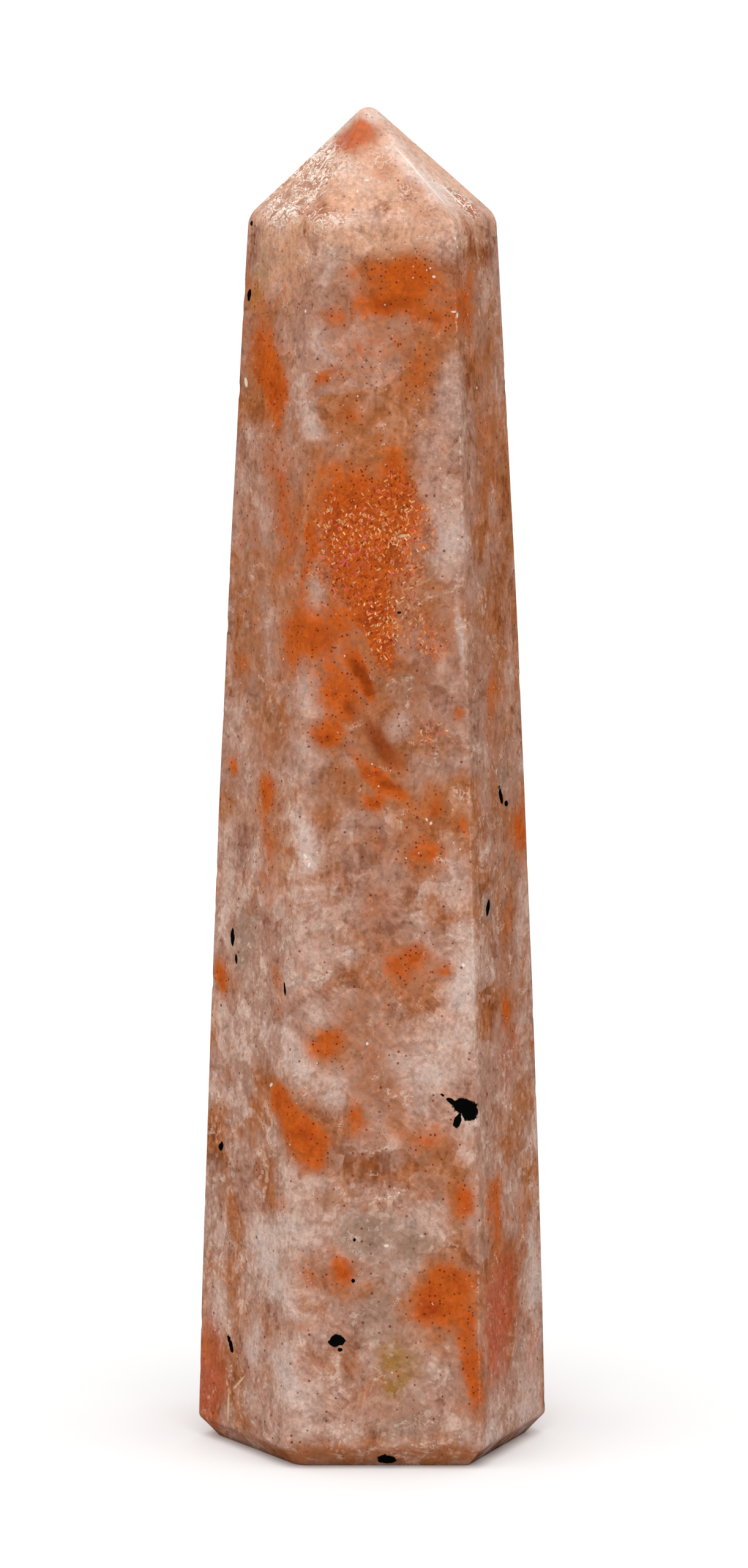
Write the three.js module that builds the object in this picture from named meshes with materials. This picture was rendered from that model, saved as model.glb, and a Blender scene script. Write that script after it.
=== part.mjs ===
// Sunstone obelisk: one polished stone with a flat base, six long sides and a six-sided point.
// Millimetres, +Z up. The origin is the middle of the base, and the front faces -Y.

import * as THREE from 'three';

// Driving dimensions
const HEIGHT = 100;
const SHARP_HEIGHT = 100.4; // where the six tip facets would meet if the point were not rounded
const SHOULDER_HEIGHT = 92; // where the long sides give way to the tip facets
const BASE_HALF_WIDTH = 13.18; // axis to a side corner, just over the bevel
const SHOULDER_HALF_WIDTH = 9.24; // axis to a side corner, at the shoulder
const HALF_DEPTH_SHARE = 0.869; // axis to the front or back face, as a share of the half width
const BULGE = 0.37; // how far the long sides belly out, as a share of their taper
const POINT_OFFSET = -0.3; // the point stands a little left of the axis
const SHOULDER_ROUNDING = 1.9;
const BEVEL_HEIGHT = 1.5;
const BEVEL_INSET = 1.6;
const BEVEL_ROUNDING = 0.6;
const RIM_LAND = 0.2; // flat strip of the base that the bevel's rounding turns into

// The six corners of a section, anticlockwise from above. atBase and atShoulder are x and y as
// shares of the half width and half depth there, and rounding is the radius worn on the long edge.
const CORNERS = {
  left: { atBase: [-1, -0.02], atShoulder: [-1, 0], rounding: 0.5 },
  frontLeft: { atBase: [-0.475, -1], atShoulder: [-0.447, -1], rounding: 1.6 },
  frontRight: { atBase: [0.613, -1], atShoulder: [0.65, -1], rounding: 0.5 },
  right: { atBase: [1, 0.07], atShoulder: [1, 0.04], rounding: 0.5 },
  backRight: { atBase: [0.5, 1], atShoulder: [0.52, 1], rounding: 0.8 },
  backLeft: { atBase: [-0.56, 1], atShoulder: [-0.54, 1], rounding: 0.8 },
};

// Fineness of the faceted solid
const SIDE_LEVELS = 12;
const TIP_LEVELS = 3;
const PROFILE_ARC_STEPS = 5;
const POINT_ARC_STEPS = 5;
const CORNER_ARC_STEPS = 5;

// The arc that rounds a corner between two straight lines, from the first line to the second.
function roundedCorner(before, corner, after, radius, steps) {
  const toBefore = before.clone().sub(corner).normalize();
  const toAfter = after.clone().sub(corner).normalize();
  const halfAngle = Math.acos(THREE.MathUtils.clamp(toBefore.dot(toAfter), -1, 1)) / 2;
  const inward = toBefore.clone().add(toAfter).normalize();
  const centre = corner.clone().addScaledVector(inward, radius / Math.sin(halfAngle));
  const start = corner.clone().addScaledVector(toBefore, radius / Math.tan(halfAngle)).sub(centre);
  const end = corner.clone().addScaledVector(toAfter, radius / Math.tan(halfAngle)).sub(centre);
  const turn = Math.atan2(start.cross(end), start.dot(end));
  const points = [];
  for (let step = 0; step <= steps; step += 1) {
    const swing = (turn * step) / steps;
    points.push(start.clone().rotateAround(new THREE.Vector2(), swing).add(centre));
  }
  return points;
}

// How far down a long side a height lies: 0 at the shoulder, 1 at the top of the bevel.
function wayDown(height) {
  const share = (SHOULDER_HEIGHT - height) / (SHOULDER_HEIGHT - BEVEL_HEIGHT);
  return THREE.MathUtils.clamp(share, 0, 1);
}

// Axis to a side corner on the gently bellied long sides.
function sideHalfWidth(height) {
  const down = wayDown(height);
  const taper = BASE_HALF_WIDTH - SHOULDER_HALF_WIDTH;
  return SHOULDER_HALF_WIDTH + taper * (down + BULGE * down * (1 - down));
}

// The rounded point: an arc that leaves the tip's slope and ends level on the axis.
function pointArc() {
  const slope = Math.atan2(SHOULDER_HALF_WIDTH, SHARP_HEIGHT - SHOULDER_HEIGHT);
  const radius = (SHARP_HEIGHT - HEIGHT) / (1 / Math.sin(slope) - 1);
  const points = [];
  for (let step = 0; step <= POINT_ARC_STEPS; step += 1) {
    const angle = slope + ((Math.PI / 2 - slope) * step) / POINT_ARC_STEPS;
    points.push(new THREE.Vector2(radius * Math.cos(angle), HEIGHT - radius + radius * Math.sin(angle)));
  }
  return points;
}

// The outline from the rim of the base to the point, as pairs of half width and height.
function outline() {
  const rim = new THREE.Vector2(BASE_HALF_WIDTH - BEVEL_INSET, 0);
  const land = new THREE.Vector2(rim.x - RIM_LAND, 0);
  const bevelTop = new THREE.Vector2(BASE_HALF_WIDTH, BEVEL_HEIGHT);
  const shoulder = new THREE.Vector2(SHOULDER_HALF_WIDTH, SHOULDER_HEIGHT);
  const peak = new THREE.Vector2(0, SHARP_HEIGHT);
  const sides = [];
  for (let level = 1; level < SIDE_LEVELS; level += 1) {
    const height = THREE.MathUtils.lerp(BEVEL_HEIGHT, SHOULDER_HEIGHT, level / SIDE_LEVELS);
    sides.push(new THREE.Vector2(sideHalfWidth(height), height));
  }
  const shoulderArc = roundedCorner(sides.at(-1), shoulder, peak, SHOULDER_ROUNDING, PROFILE_ARC_STEPS);
  const top = pointArc();
  const tip = [];
  for (let level = 1; level < TIP_LEVELS; level += 1) {
    tip.push(shoulderArc.at(-1).clone().lerp(top[0], level / TIP_LEVELS));
  }
  return [
    ...roundedCorner(land, rim, bevelTop, RIM_LAND / 2, 1),
    ...roundedCorner(rim, bevelTop, sides[0], BEVEL_ROUNDING, PROFILE_ARC_STEPS),
    ...sides,
    ...shoulderArc,
    ...tip,
    ...top,
  ];
}

// One level section of the stone: the rounded hexagon of a given half width at a given height.
function section(halfWidth, height) {
  const down = wayDown(height);
  const climb = Math.max(0, (height - SHOULDER_HEIGHT) / (SHARP_HEIGHT - SHOULDER_HEIGHT));
  const wear = Math.min(1, halfWidth / SHOULDER_HALF_WIDTH);
  const sharp = Object.values(CORNERS).map(({ atBase, atShoulder, rounding }) => {
    const x = THREE.MathUtils.lerp(atShoulder[0], atBase[0], down) * halfWidth;
    const y = THREE.MathUtils.lerp(atShoulder[1], atBase[1], down) * halfWidth * HALF_DEPTH_SHARE;
    return { place: new THREE.Vector2(x, y), radius: rounding * wear };
  });
  const ring = [];
  sharp.forEach(({ place, radius }, index) => {
    const before = sharp.at(index - 1).place;
    const after = sharp[(index + 1) % sharp.length].place;
    for (const point of roundedCorner(before, place, after, radius, CORNER_ARC_STEPS)) {
      ring.push(new THREE.Vector3(point.x + POINT_OFFSET * climb, point.y, height));
    }
  });
  return ring;
}

// Joins the sections into one closed skin, with a flat fan for the base and a fan at the point.
function stoneGeometry() {
  const levels = outline();
  const rings = levels.slice(0, -1).map((level) => section(level.x, level.y));
  const count = rings[0].length;
  const peak = new THREE.Vector3(POINT_OFFSET, 0, HEIGHT);
  const points = [...rings.flat(), new THREE.Vector3(0, 0, 0), peak];
  const baseMiddle = points.length - 2;
  const peakIndex = points.length - 1;
  const lastRing = (rings.length - 1) * count;
  const faces = [];
  for (let place = 0; place < count; place += 1) {
    const next = (place + 1) % count;
    faces.push(baseMiddle, next, place);
    for (let ring = 0; ring < rings.length - 1; ring += 1) {
      const low = ring * count;
      const high = low + count;
      faces.push(low + place, low + next, high + next);
      faces.push(low + place, high + next, high + place);
    }
    faces.push(lastRing + place, lastRing + next, peakIndex);
  }
  const geometry = new THREE.BufferGeometry().setFromPoints(points);
  geometry.setIndex(faces);
  geometry.computeVertexNormals();
  return geometry;
}

const polishedSunstone = new THREE.MeshStandardMaterial({
  color: new THREE.Color(0.62, 0.35, 0.24),
  roughness: 0.18,
  metalness: 0,
});

const obelisk = new THREE.Mesh(stoneGeometry(), polishedSunstone);
obelisk.name = 'obelisk';

const stone = new THREE.Group();
stone.add(obelisk);

export default stone;
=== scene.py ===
"""Polished sunstone obelisk: its worn facets, its colouring, and the plain studio it stands in."""

import logging
import math
import random
from dataclasses import dataclass, field
from enum import Enum
from typing import Any, Iterable, Sequence

import bpy
import numpy as np
from mathutils import Matrix, Vector


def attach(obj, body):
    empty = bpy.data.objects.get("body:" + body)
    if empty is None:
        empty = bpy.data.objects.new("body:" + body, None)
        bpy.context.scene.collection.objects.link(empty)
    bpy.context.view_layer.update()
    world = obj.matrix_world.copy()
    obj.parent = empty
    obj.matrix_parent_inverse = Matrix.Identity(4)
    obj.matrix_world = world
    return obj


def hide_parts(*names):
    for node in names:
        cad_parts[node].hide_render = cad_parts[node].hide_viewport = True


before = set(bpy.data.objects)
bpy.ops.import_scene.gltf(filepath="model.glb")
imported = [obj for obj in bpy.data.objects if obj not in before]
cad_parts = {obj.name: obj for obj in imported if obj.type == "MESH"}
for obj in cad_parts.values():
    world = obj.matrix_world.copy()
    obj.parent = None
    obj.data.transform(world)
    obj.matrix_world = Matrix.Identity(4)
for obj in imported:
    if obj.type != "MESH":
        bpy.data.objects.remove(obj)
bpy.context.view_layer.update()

log = logging.getLogger("sunstone")

MM = 0.001
PHOTO_WIDTH = 1222
PHOTO_HEIGHT = 2560

STONE_LIGHT = 1.03  # light on the stone's front, where 1 shows a white card just white
STONE_VEIL = 0.008  # what the front's gloss adds to every colour
DARKEST = 0.002  # the least light that any part of the stone throws back
MIDDLE = (0.5, 0.5, 0.5)  # the mean of a random colour
SEED_WAY = (1.0, 0.7, 0.4)  # the way that a seed moves a pattern
FAR_OFF = (0.05, 0.02, 0.03)  # moves one noise well away from another

Colour = tuple[float, float, float, float]
Range = tuple[float, ...]
Socket = bpy.types.NodeSocket


def tone(red: int, green: int, blue: int) -> Colour:
    """Turns a colour as it looks on the lit stone into the linear colour that a shader takes.

    Args:
        red: Red, 0 to 255.
        green: Green, 0 to 255.
        blue: Blue, 0 to 255.

    Returns:
        Linear red, green, blue and an alpha of 1.
    """
    def albedo(level: int) -> float:
        """Undoes the screen curve, the gloss and the light for one channel.

        Args:
            level: The channel, 0 to 255.

        Returns:
            How much of the light the stone throws back.
        """
        share = level / 255
        linear = share / 12.92 if share <= 0.04045 else ((share + 0.055) / 1.055) ** 2.4
        return min(max((linear - STONE_VEIL) / STONE_LIGHT, DARKEST), 1.0)

    return (albedo(red), albedo(green), albedo(blue), 1.0)


class Tint(Enum):
    """The colourings of the stone, three of them partly painted light or shade. Each is one field painted on
    the mesh.
    """

    EMBER = "ember"  # deep orange, from platelets too fine to see
    GLITTER = "glitter"  # platelets large enough to flash one by one
    MILK = "milk"  # pale, fractured feldspar, and some painted light: glare down the rounded front-left edge and pale rims along the right side
    SMOKE = "smoke"  # clear greyish quartz
    OCHRE = "ochre"  # yellow-brown stain
    BLUSH = "blush"  # salmon pink
    UMBER = "umber"  # warm brown, in upright streaks, and painted shade: a row along the downward-facing bevel and darkening on the right face
    RUSSET = "russet"  # deep red-brown, in strokes through and beside the orange
    PALE = "pale"  # pale apricot, as about the point, partly painted light: the point is laid paler where light from above falls
    PITTED = "pitted"  # open grain that the polish has not closed


class Speck(Enum):
    """Small things in the stone that are placed one by one."""

    GRAIN = "grain"  # black mineral
    GLINT = "glint"  # painted highlight: a small bright spot, or a thin line along a ridge of the point, where the stone catches the light
    SEAM = "seam"  # a thin golden crack


Kind = Tint | Speck


class Corner(Enum):
    """The six long edges, anticlockwise from above. The value is the place in the section."""

    LEFT = 0
    FRONT_LEFT = 1
    FRONT_RIGHT = 2
    RIGHT = 3
    BACK_RIGHT = 4
    BACK_LEFT = 5


@dataclass(frozen=True)
class LongEdge:
    """Where one long edge runs, as shares of the half width and half depth, and its wear."""

    at_base: tuple[float, float]
    at_shoulder: tuple[float, float]
    rounding: float


LONG_EDGES: dict[Corner, LongEdge] = {
    Corner.LEFT: LongEdge((-1, -0.02), (-1, 0), 0.5 * MM),
    Corner.FRONT_LEFT: LongEdge((-0.475, -1), (-0.447, -1), 1.6 * MM),
    Corner.FRONT_RIGHT: LongEdge((0.613, -1), (0.65, -1), 0.5 * MM),
    Corner.RIGHT: LongEdge((1, 0.07), (1, 0.04), 0.5 * MM),
    Corner.BACK_RIGHT: LongEdge((0.5, 1), (0.52, 1), 0.8 * MM),
    Corner.BACK_LEFT: LongEdge((-0.56, 1), (-0.54, 1), 0.8 * MM),
}


class NodeBench:
    """Adds nodes to one tree and joins their sockets, so that a recipe reads a step a line.

    Attributes:
        tree: The shader or geometry tree under construction.
    """

    def __init__(self, tree: bpy.types.NodeTree) -> None:
        """Takes the tree to work on."""
        self.tree = tree

    def feed(self, socket: Socket, value: Any) -> None:
        """Joins a socket to another one, or sets a plain value on it.

        Args:
            socket: The input socket.
            value: An output socket to join, or the value to set.
        """
        if isinstance(value, Socket):
            self.tree.links.new(value, socket)
        else:
            socket.default_value = value

    def node(self, kind: str, inputs: dict[str | int, Any] | None = None, **settings: Any) -> bpy.types.Node:
        """Adds one node.

        Args:
            kind: The node's type name.
            inputs: What its input sockets take, by name or place.
            **settings: The node's own options.

        Returns:
            The new node.
        """
        made = self.tree.nodes.new(kind)
        for name, value in settings.items():
            setattr(made, name, value)
        for name, value in (inputs or {}).items():
            self.feed(made.inputs[name], value)
        return made

    def math(self, operation: str, *values: Any, clamp: bool = False) -> Socket:
        """Adds a Math node.

        Args:
            operation: What it works out.
            *values: Its operands, sockets or numbers.
            clamp: Whether the answer is held between 0 and 1.

        Returns:
            The answer's socket.
        """
        made = self.node("ShaderNodeMath", operation=operation, use_clamp=clamp)
        for socket, value in zip(made.inputs, values):
            self.feed(socket, value)
        return made.outputs[0]

    def times(self, first: Any, second: Any) -> Socket:
        """Multiplies two numbers."""
        return self.math("MULTIPLY", first, second)

    def plus(self, first: Any, second: Any) -> Socket:
        """Adds two numbers."""
        return self.math("ADD", first, second)

    def less(self, first: Any, second: Any) -> Socket:
        """Takes the second number from the first."""
        return self.math("SUBTRACT", first, second)

    def vector(self, operation: str, *values: Any) -> Socket:
        """Adds a Vector Math node.

        Args:
            operation: What it works out.
            *values: Its operands. SCALE takes its factor second.

        Returns:
            The answer's socket, a number for LENGTH, DISTANCE and DOT_PRODUCT.
        """
        made = self.node("ShaderNodeVectorMath", operation=operation)
        sockets = [made.inputs[0], made.inputs["Scale"]] if operation == "SCALE" else made.inputs
        for socket, value in zip(sockets, values):
            self.feed(socket, value)
        is_number = operation in ("LENGTH", "DISTANCE", "DOT_PRODUCT")
        return made.outputs["Value" if is_number else "Vector"]

    def between(self, share: Any, first: Any, second: Any) -> Socket:
        """Gives the place between two others, as far along as the share says."""
        mixed = self.node("ShaderNodeMix", {0: share, 4: first, 5: second}, data_type="VECTOR")
        return mixed.outputs[1]

    def parts(self, value: Socket) -> tuple[Socket, ...]:
        """Splits a vector into its three numbers."""
        return tuple(self.node("ShaderNodeSeparateXYZ", {0: value}).outputs)

    def draws(self, colour: Socket) -> tuple[Socket, ...]:
        """Splits the random colour of a pattern into three numbers from 0 to 1, in a shader."""
        return tuple(self.node("ShaderNodeSeparateColor", {0: colour}).outputs)

    def arrow(self, numbers: Sequence[Socket]) -> Socket:
        """Makes a direction out of three numbers from 0 to 1, each part from -0.5 to 0.5."""
        joined = self.node("ShaderNodeCombineXYZ", dict(enumerate(numbers))).outputs[0]
        return self.vector("SUBTRACT", joined, MIDDLE)

    def total(self, values: Iterable[Socket]) -> Socket:
        """Adds up several numbers.

        Args:
            values: The sockets to add.

        Returns:
            The sum's socket.
        """
        running, *rest = values
        for value in rest:
            running = self.plus(running, value)
        return running

    def span(self, value: Any, low: Any, high: Any, to_low: Any = 0.0,
             to_high: Any = 1.0) -> Socket:
        """Turns a range into another one with soft ends, and holds it there.

        Args:
            value: The number to turn.
            low: Where the range starts. It may be above high, for a falling one.
            high: Where the range ends.
            to_low: The answer at low and past it.
            to_high: The answer at high and past it.

        Returns:
            The answer's socket.
        """
        inputs = {"Value": value, "From Min": low, "From Max": high, "To Min": to_low, "To Max": to_high}
        made = self.node("ShaderNodeMapRange", inputs, interpolation_type="SMOOTHSTEP")
        return made.outputs["Result"]

    def noise(self, place: Any, size: float, detail: float = 2.0, roughness: float = 0.5,
              distortion: float = 0.0) -> Socket:
        """Adds a noise pattern, 0.5 in the mean, whose largest lumps have the given size."""
        inputs = {"Vector": place, "Scale": 1 / size, "Detail": detail, "Roughness": roughness,
                  "Distortion": distortion}
        return self.node("ShaderNodeTexNoise", inputs).outputs[0]

    def cells(self, place: Any, size: float, **settings: Any) -> bpy.types.Node:
        """Adds a pattern of cells, scattered at the given distance from one another."""
        return self.node("ShaderNodeTexVoronoi", {"Vector": place, "Scale": 1 / size}, **settings)


class GeometryBench(NodeBench):
    """A geometry tree with named inputs, and the object that it is run on."""

    def __init__(self, name: str) -> None:
        """Starts an empty tree with a geometry input and output.

        Args:
            name: The tree's name.
        """
        super().__init__(bpy.data.node_groups.new(name, "GeometryNodeTree"))
        face = self.tree.interface
        face.new_socket("Geometry", in_out="INPUT", socket_type="NodeSocketGeometry")
        face.new_socket("Geometry", in_out="OUTPUT", socket_type="NodeSocketGeometry")
        self.entry = self.tree.nodes.new("NodeGroupInput")
        self.values: dict[str, Any] = {}

    def named(self, name: str, value: Any) -> Socket:
        """Adds a named input and keeps the value it is to have.

        Args:
            name: The input's name.
            value: A whole number, a number, a vector or a material.

        Returns:
            The socket that carries it inside the tree.
        """
        kinds = {int: "NodeSocketInt", float: "NodeSocketFloat", Vector: "NodeSocketVector",
                 bpy.types.Material: "NodeSocketMaterial"}
        kind = next(socket for known, socket in kinds.items() if isinstance(value, known))
        item = self.tree.interface.new_socket(name, in_out="INPUT", socket_type=kind)
        self.values[item.identifier] = value
        return self.entry.outputs[name]

    def pick(self, index: Any, values: Sequence[Any], data_type: str) -> Socket:
        """Chooses one of several values by its place.

        Args:
            index: The place.
            values: The sockets to choose from.
            data_type: FLOAT or VECTOR.

        Returns:
            The chosen value's socket.
        """
        switch = self.node("GeometryNodeIndexSwitch", {"Index": index}, data_type=data_type)
        while len(switch.index_switch_items) < len(values):
            switch.index_switch_items.new()
        for place, value in enumerate(values):
            self.feed(switch.inputs[str(place)], value)
        return switch.outputs[0]

    def point_of(self, geometry: Any, index: Any) -> Socket:
        """Reads where one point of another geometry is.

        Args:
            geometry: The geometry to read.
            index: The point's place in it.

        Returns:
            The position's socket.
        """
        position = self.node("GeometryNodeInputPosition").outputs[0]
        inputs = {"Geometry": geometry, "Value": position, "Index": index}
        return self.node("GeometryNodeSampleIndex", inputs, data_type="FLOAT_VECTOR").outputs[0]

    def store(self, geometry: Any, name: str, value: Any) -> Socket:
        """Keeps a number on every point of a mesh, under the name that a material reads."""
        inputs = {"Geometry": geometry, "Name": name, "Value": value}
        return self.node("GeometryNodeStoreNamedAttribute", inputs).outputs[0]

    def kept(self, name: str) -> Socket:
        """Reads a number that is kept on every point."""
        return self.node("GeometryNodeInputNamedAttribute", {"Name": name}, data_type="FLOAT").outputs[0]

    def whole(self, value: Any, size: Any) -> Socket:
        """Divides two whole numbers and drops the rest."""
        return self.math("FLOOR", self.math("DIVIDE", self.plus(value, 0.5), size))

    def moved(self, geometry: Any, **inputs: Any) -> Socket:
        """Moves the points of a geometry, to a Position or by an Offset."""
        return self.node("GeometryNodeSetPosition", {"Geometry": geometry, **inputs}).outputs[0]

    def close(self, geometry: Any, material: bpy.types.Material) -> None:
        """Ends the tree with real geometry and its material.

        Args:
            geometry: The finished mesh's socket.
            material: What it is made of.
        """
        real = self.node("GeometryNodeRealizeInstances", {"Geometry": geometry}).outputs[0]
        dressed = self.node("GeometryNodeSetMaterial",
                            {"Geometry": real, "Material": self.named("Material", material)}).outputs[0]
        self.feed(self.node("NodeGroupOutput").inputs[0], dressed)

    def run(self, source: bpy.types.Mesh, name: str) -> bpy.types.Object:
        """Runs the tree on a mesh and keeps the outcome as a plain object.

        Args:
            source: The mesh that the tree starts from.
            name: The new object's name.

        Returns:
            The object, at the origin and with no modifier.
        """
        piece = bpy.data.objects.new(name, source)
        bpy.context.scene.collection.objects.link(piece)
        modifier = piece.modifiers.new(self.tree.name, "NODES")
        modifier.node_group = self.tree
        for identifier, value in self.values.items():
            modifier[identifier] = value
        graph = bpy.context.evaluated_depsgraph_get()
        plain = bpy.data.meshes.new_from_object(piece.evaluated_get(graph))
        plain.name = name
        piece.modifiers.remove(modifier)
        piece.data = plain
        return piece


def rounded(before: Vector, corner: Vector, after: Vector, radius: float, steps: int) -> list[Vector]:
    """Rounds the corner between two straight lines.

    Args:
        before: A point on the first line.
        corner: Where the lines would meet.
        after: A point on the second line.
        radius: The arc's radius.
        steps: How many chords the arc has.

    Returns:
        The arc's points, from the first line to the second.
    """
    to_before = (before - corner).normalized()
    to_after = (after - corner).normalized()
    half_angle = to_before.angle(to_after) / 2
    centre = corner + (to_before + to_after).normalized() * (radius / math.sin(half_angle))
    reach = radius / math.tan(half_angle)
    start = corner + to_before * reach - centre
    end = corner + to_after * reach - centre
    turn = math.atan2(start.x * end.y - start.y * end.x, start.dot(end))
    return [centre + Matrix.Rotation(turn * step / steps, 2) @ start for step in range(steps + 1)]


@dataclass(frozen=True)
class StoneOutline:
    """The stone's outline, from its point to the middle of its base, in metres.

    The steps, levels and rings say how finely each part of it is drawn. An arc beside the long
    sides starts from the line to the level that is run_out further along.
    """

    height: float = 100 * MM
    sharp_height: float = 100.4 * MM
    shoulder_height: float = 92 * MM
    base_half_width: float = 13.18 * MM
    shoulder_half_width: float = 9.24 * MM
    bulge: float = 0.37
    shoulder_rounding: float = 1.9 * MM
    bevel_height: float = 1.5 * MM
    bevel_inset: float = 1.6 * MM
    bevel_rounding: float = 0.6 * MM
    rim_rounding: float = 0.12 * MM
    point_steps: int = 7
    tip_levels: int = 44
    arc_steps: int = 8
    side_levels: int = 300
    bevel_levels: int = 5
    base_rings: int = 5
    run_out: int = 8

    def side_point(self, height: float) -> Vector:
        """Finds the gently bellied side at a height.

        Args:
            height: A height between the bevel and the shoulder.

        Returns:
            The half width and the height.
        """
        down = (self.shoulder_height - height) / (self.shoulder_height - self.bevel_height)
        taper = self.base_half_width - self.shoulder_half_width
        half_width = self.shoulder_half_width + taper * (down + self.bulge * down * (1 - down))
        return Vector((half_width, height))

    def point_arc(self) -> list[Vector]:
        """Rounds the point, from the axis out to the tip's slope.

        Returns:
            The arc's points, without the one on the axis.
        """
        slope = math.atan2(self.shoulder_half_width, self.sharp_height - self.shoulder_height)
        radius = (self.sharp_height - self.height) / (1 / math.sin(slope) - 1)
        middle = Vector((0, self.height - radius))
        angles = [math.pi / 2 - (math.pi / 2 - slope) * step / self.point_steps
                  for step in range(1, self.point_steps + 1)]
        return [middle + radius * Vector((math.cos(angle), math.sin(angle))) for angle in angles]

    def points(self) -> list[Vector]:
        """Draws the whole outline.

        Returns:
            Pairs of half width and height, from the point down to the middle of the base.
        """
        peak = Vector((0, self.sharp_height))
        shoulder = Vector((self.shoulder_half_width, self.shoulder_height))
        bevel = Vector((self.base_half_width, self.bevel_height))
        rim = Vector((self.base_half_width - self.bevel_inset, 0))
        middle = Vector((0, 0))
        span = self.shoulder_height - self.bevel_height
        sides = [self.side_point(self.shoulder_height - span * level / self.side_levels)
                 for level in range(1, self.side_levels)]
        top = self.point_arc()
        turned = rounded(peak, shoulder, sides[self.run_out], self.shoulder_rounding, self.arc_steps)
        tip = [top[-1].lerp(turned[0], level / self.tip_levels) for level in range(1, self.tip_levels)]
        kept = [point for point in sides if point.y < turned[-1].y]
        low = rounded(sides[-self.run_out], bevel, rim, self.bevel_rounding, self.arc_steps)
        kept = [point for point in kept if point.y > low[0].y]
        edge = rounded(bevel, rim, middle, self.rim_rounding, self.arc_steps // 2)
        face = [low[-1].lerp(edge[0], level / self.bevel_levels) for level in range(1, self.bevel_levels)]
        base = [edge[-1] * (1 - ring / self.base_rings) for ring in range(1, self.base_rings)]
        axis_top = Vector((0, self.height))
        return [axis_top, *top, *tip, *turned, *kept, *low, *face, *edge, *base, middle]

    def mesh(self) -> bpy.types.Mesh:
        """Puts the outline in a mesh of loose points, half width along X and height along Z.

        Returns:
            The mesh.
        """
        drawn = bpy.data.meshes.new("outline")
        drawn.from_pydata([(point.x, 0, point.y) for point in self.points()], [], [])
        return drawn


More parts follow.
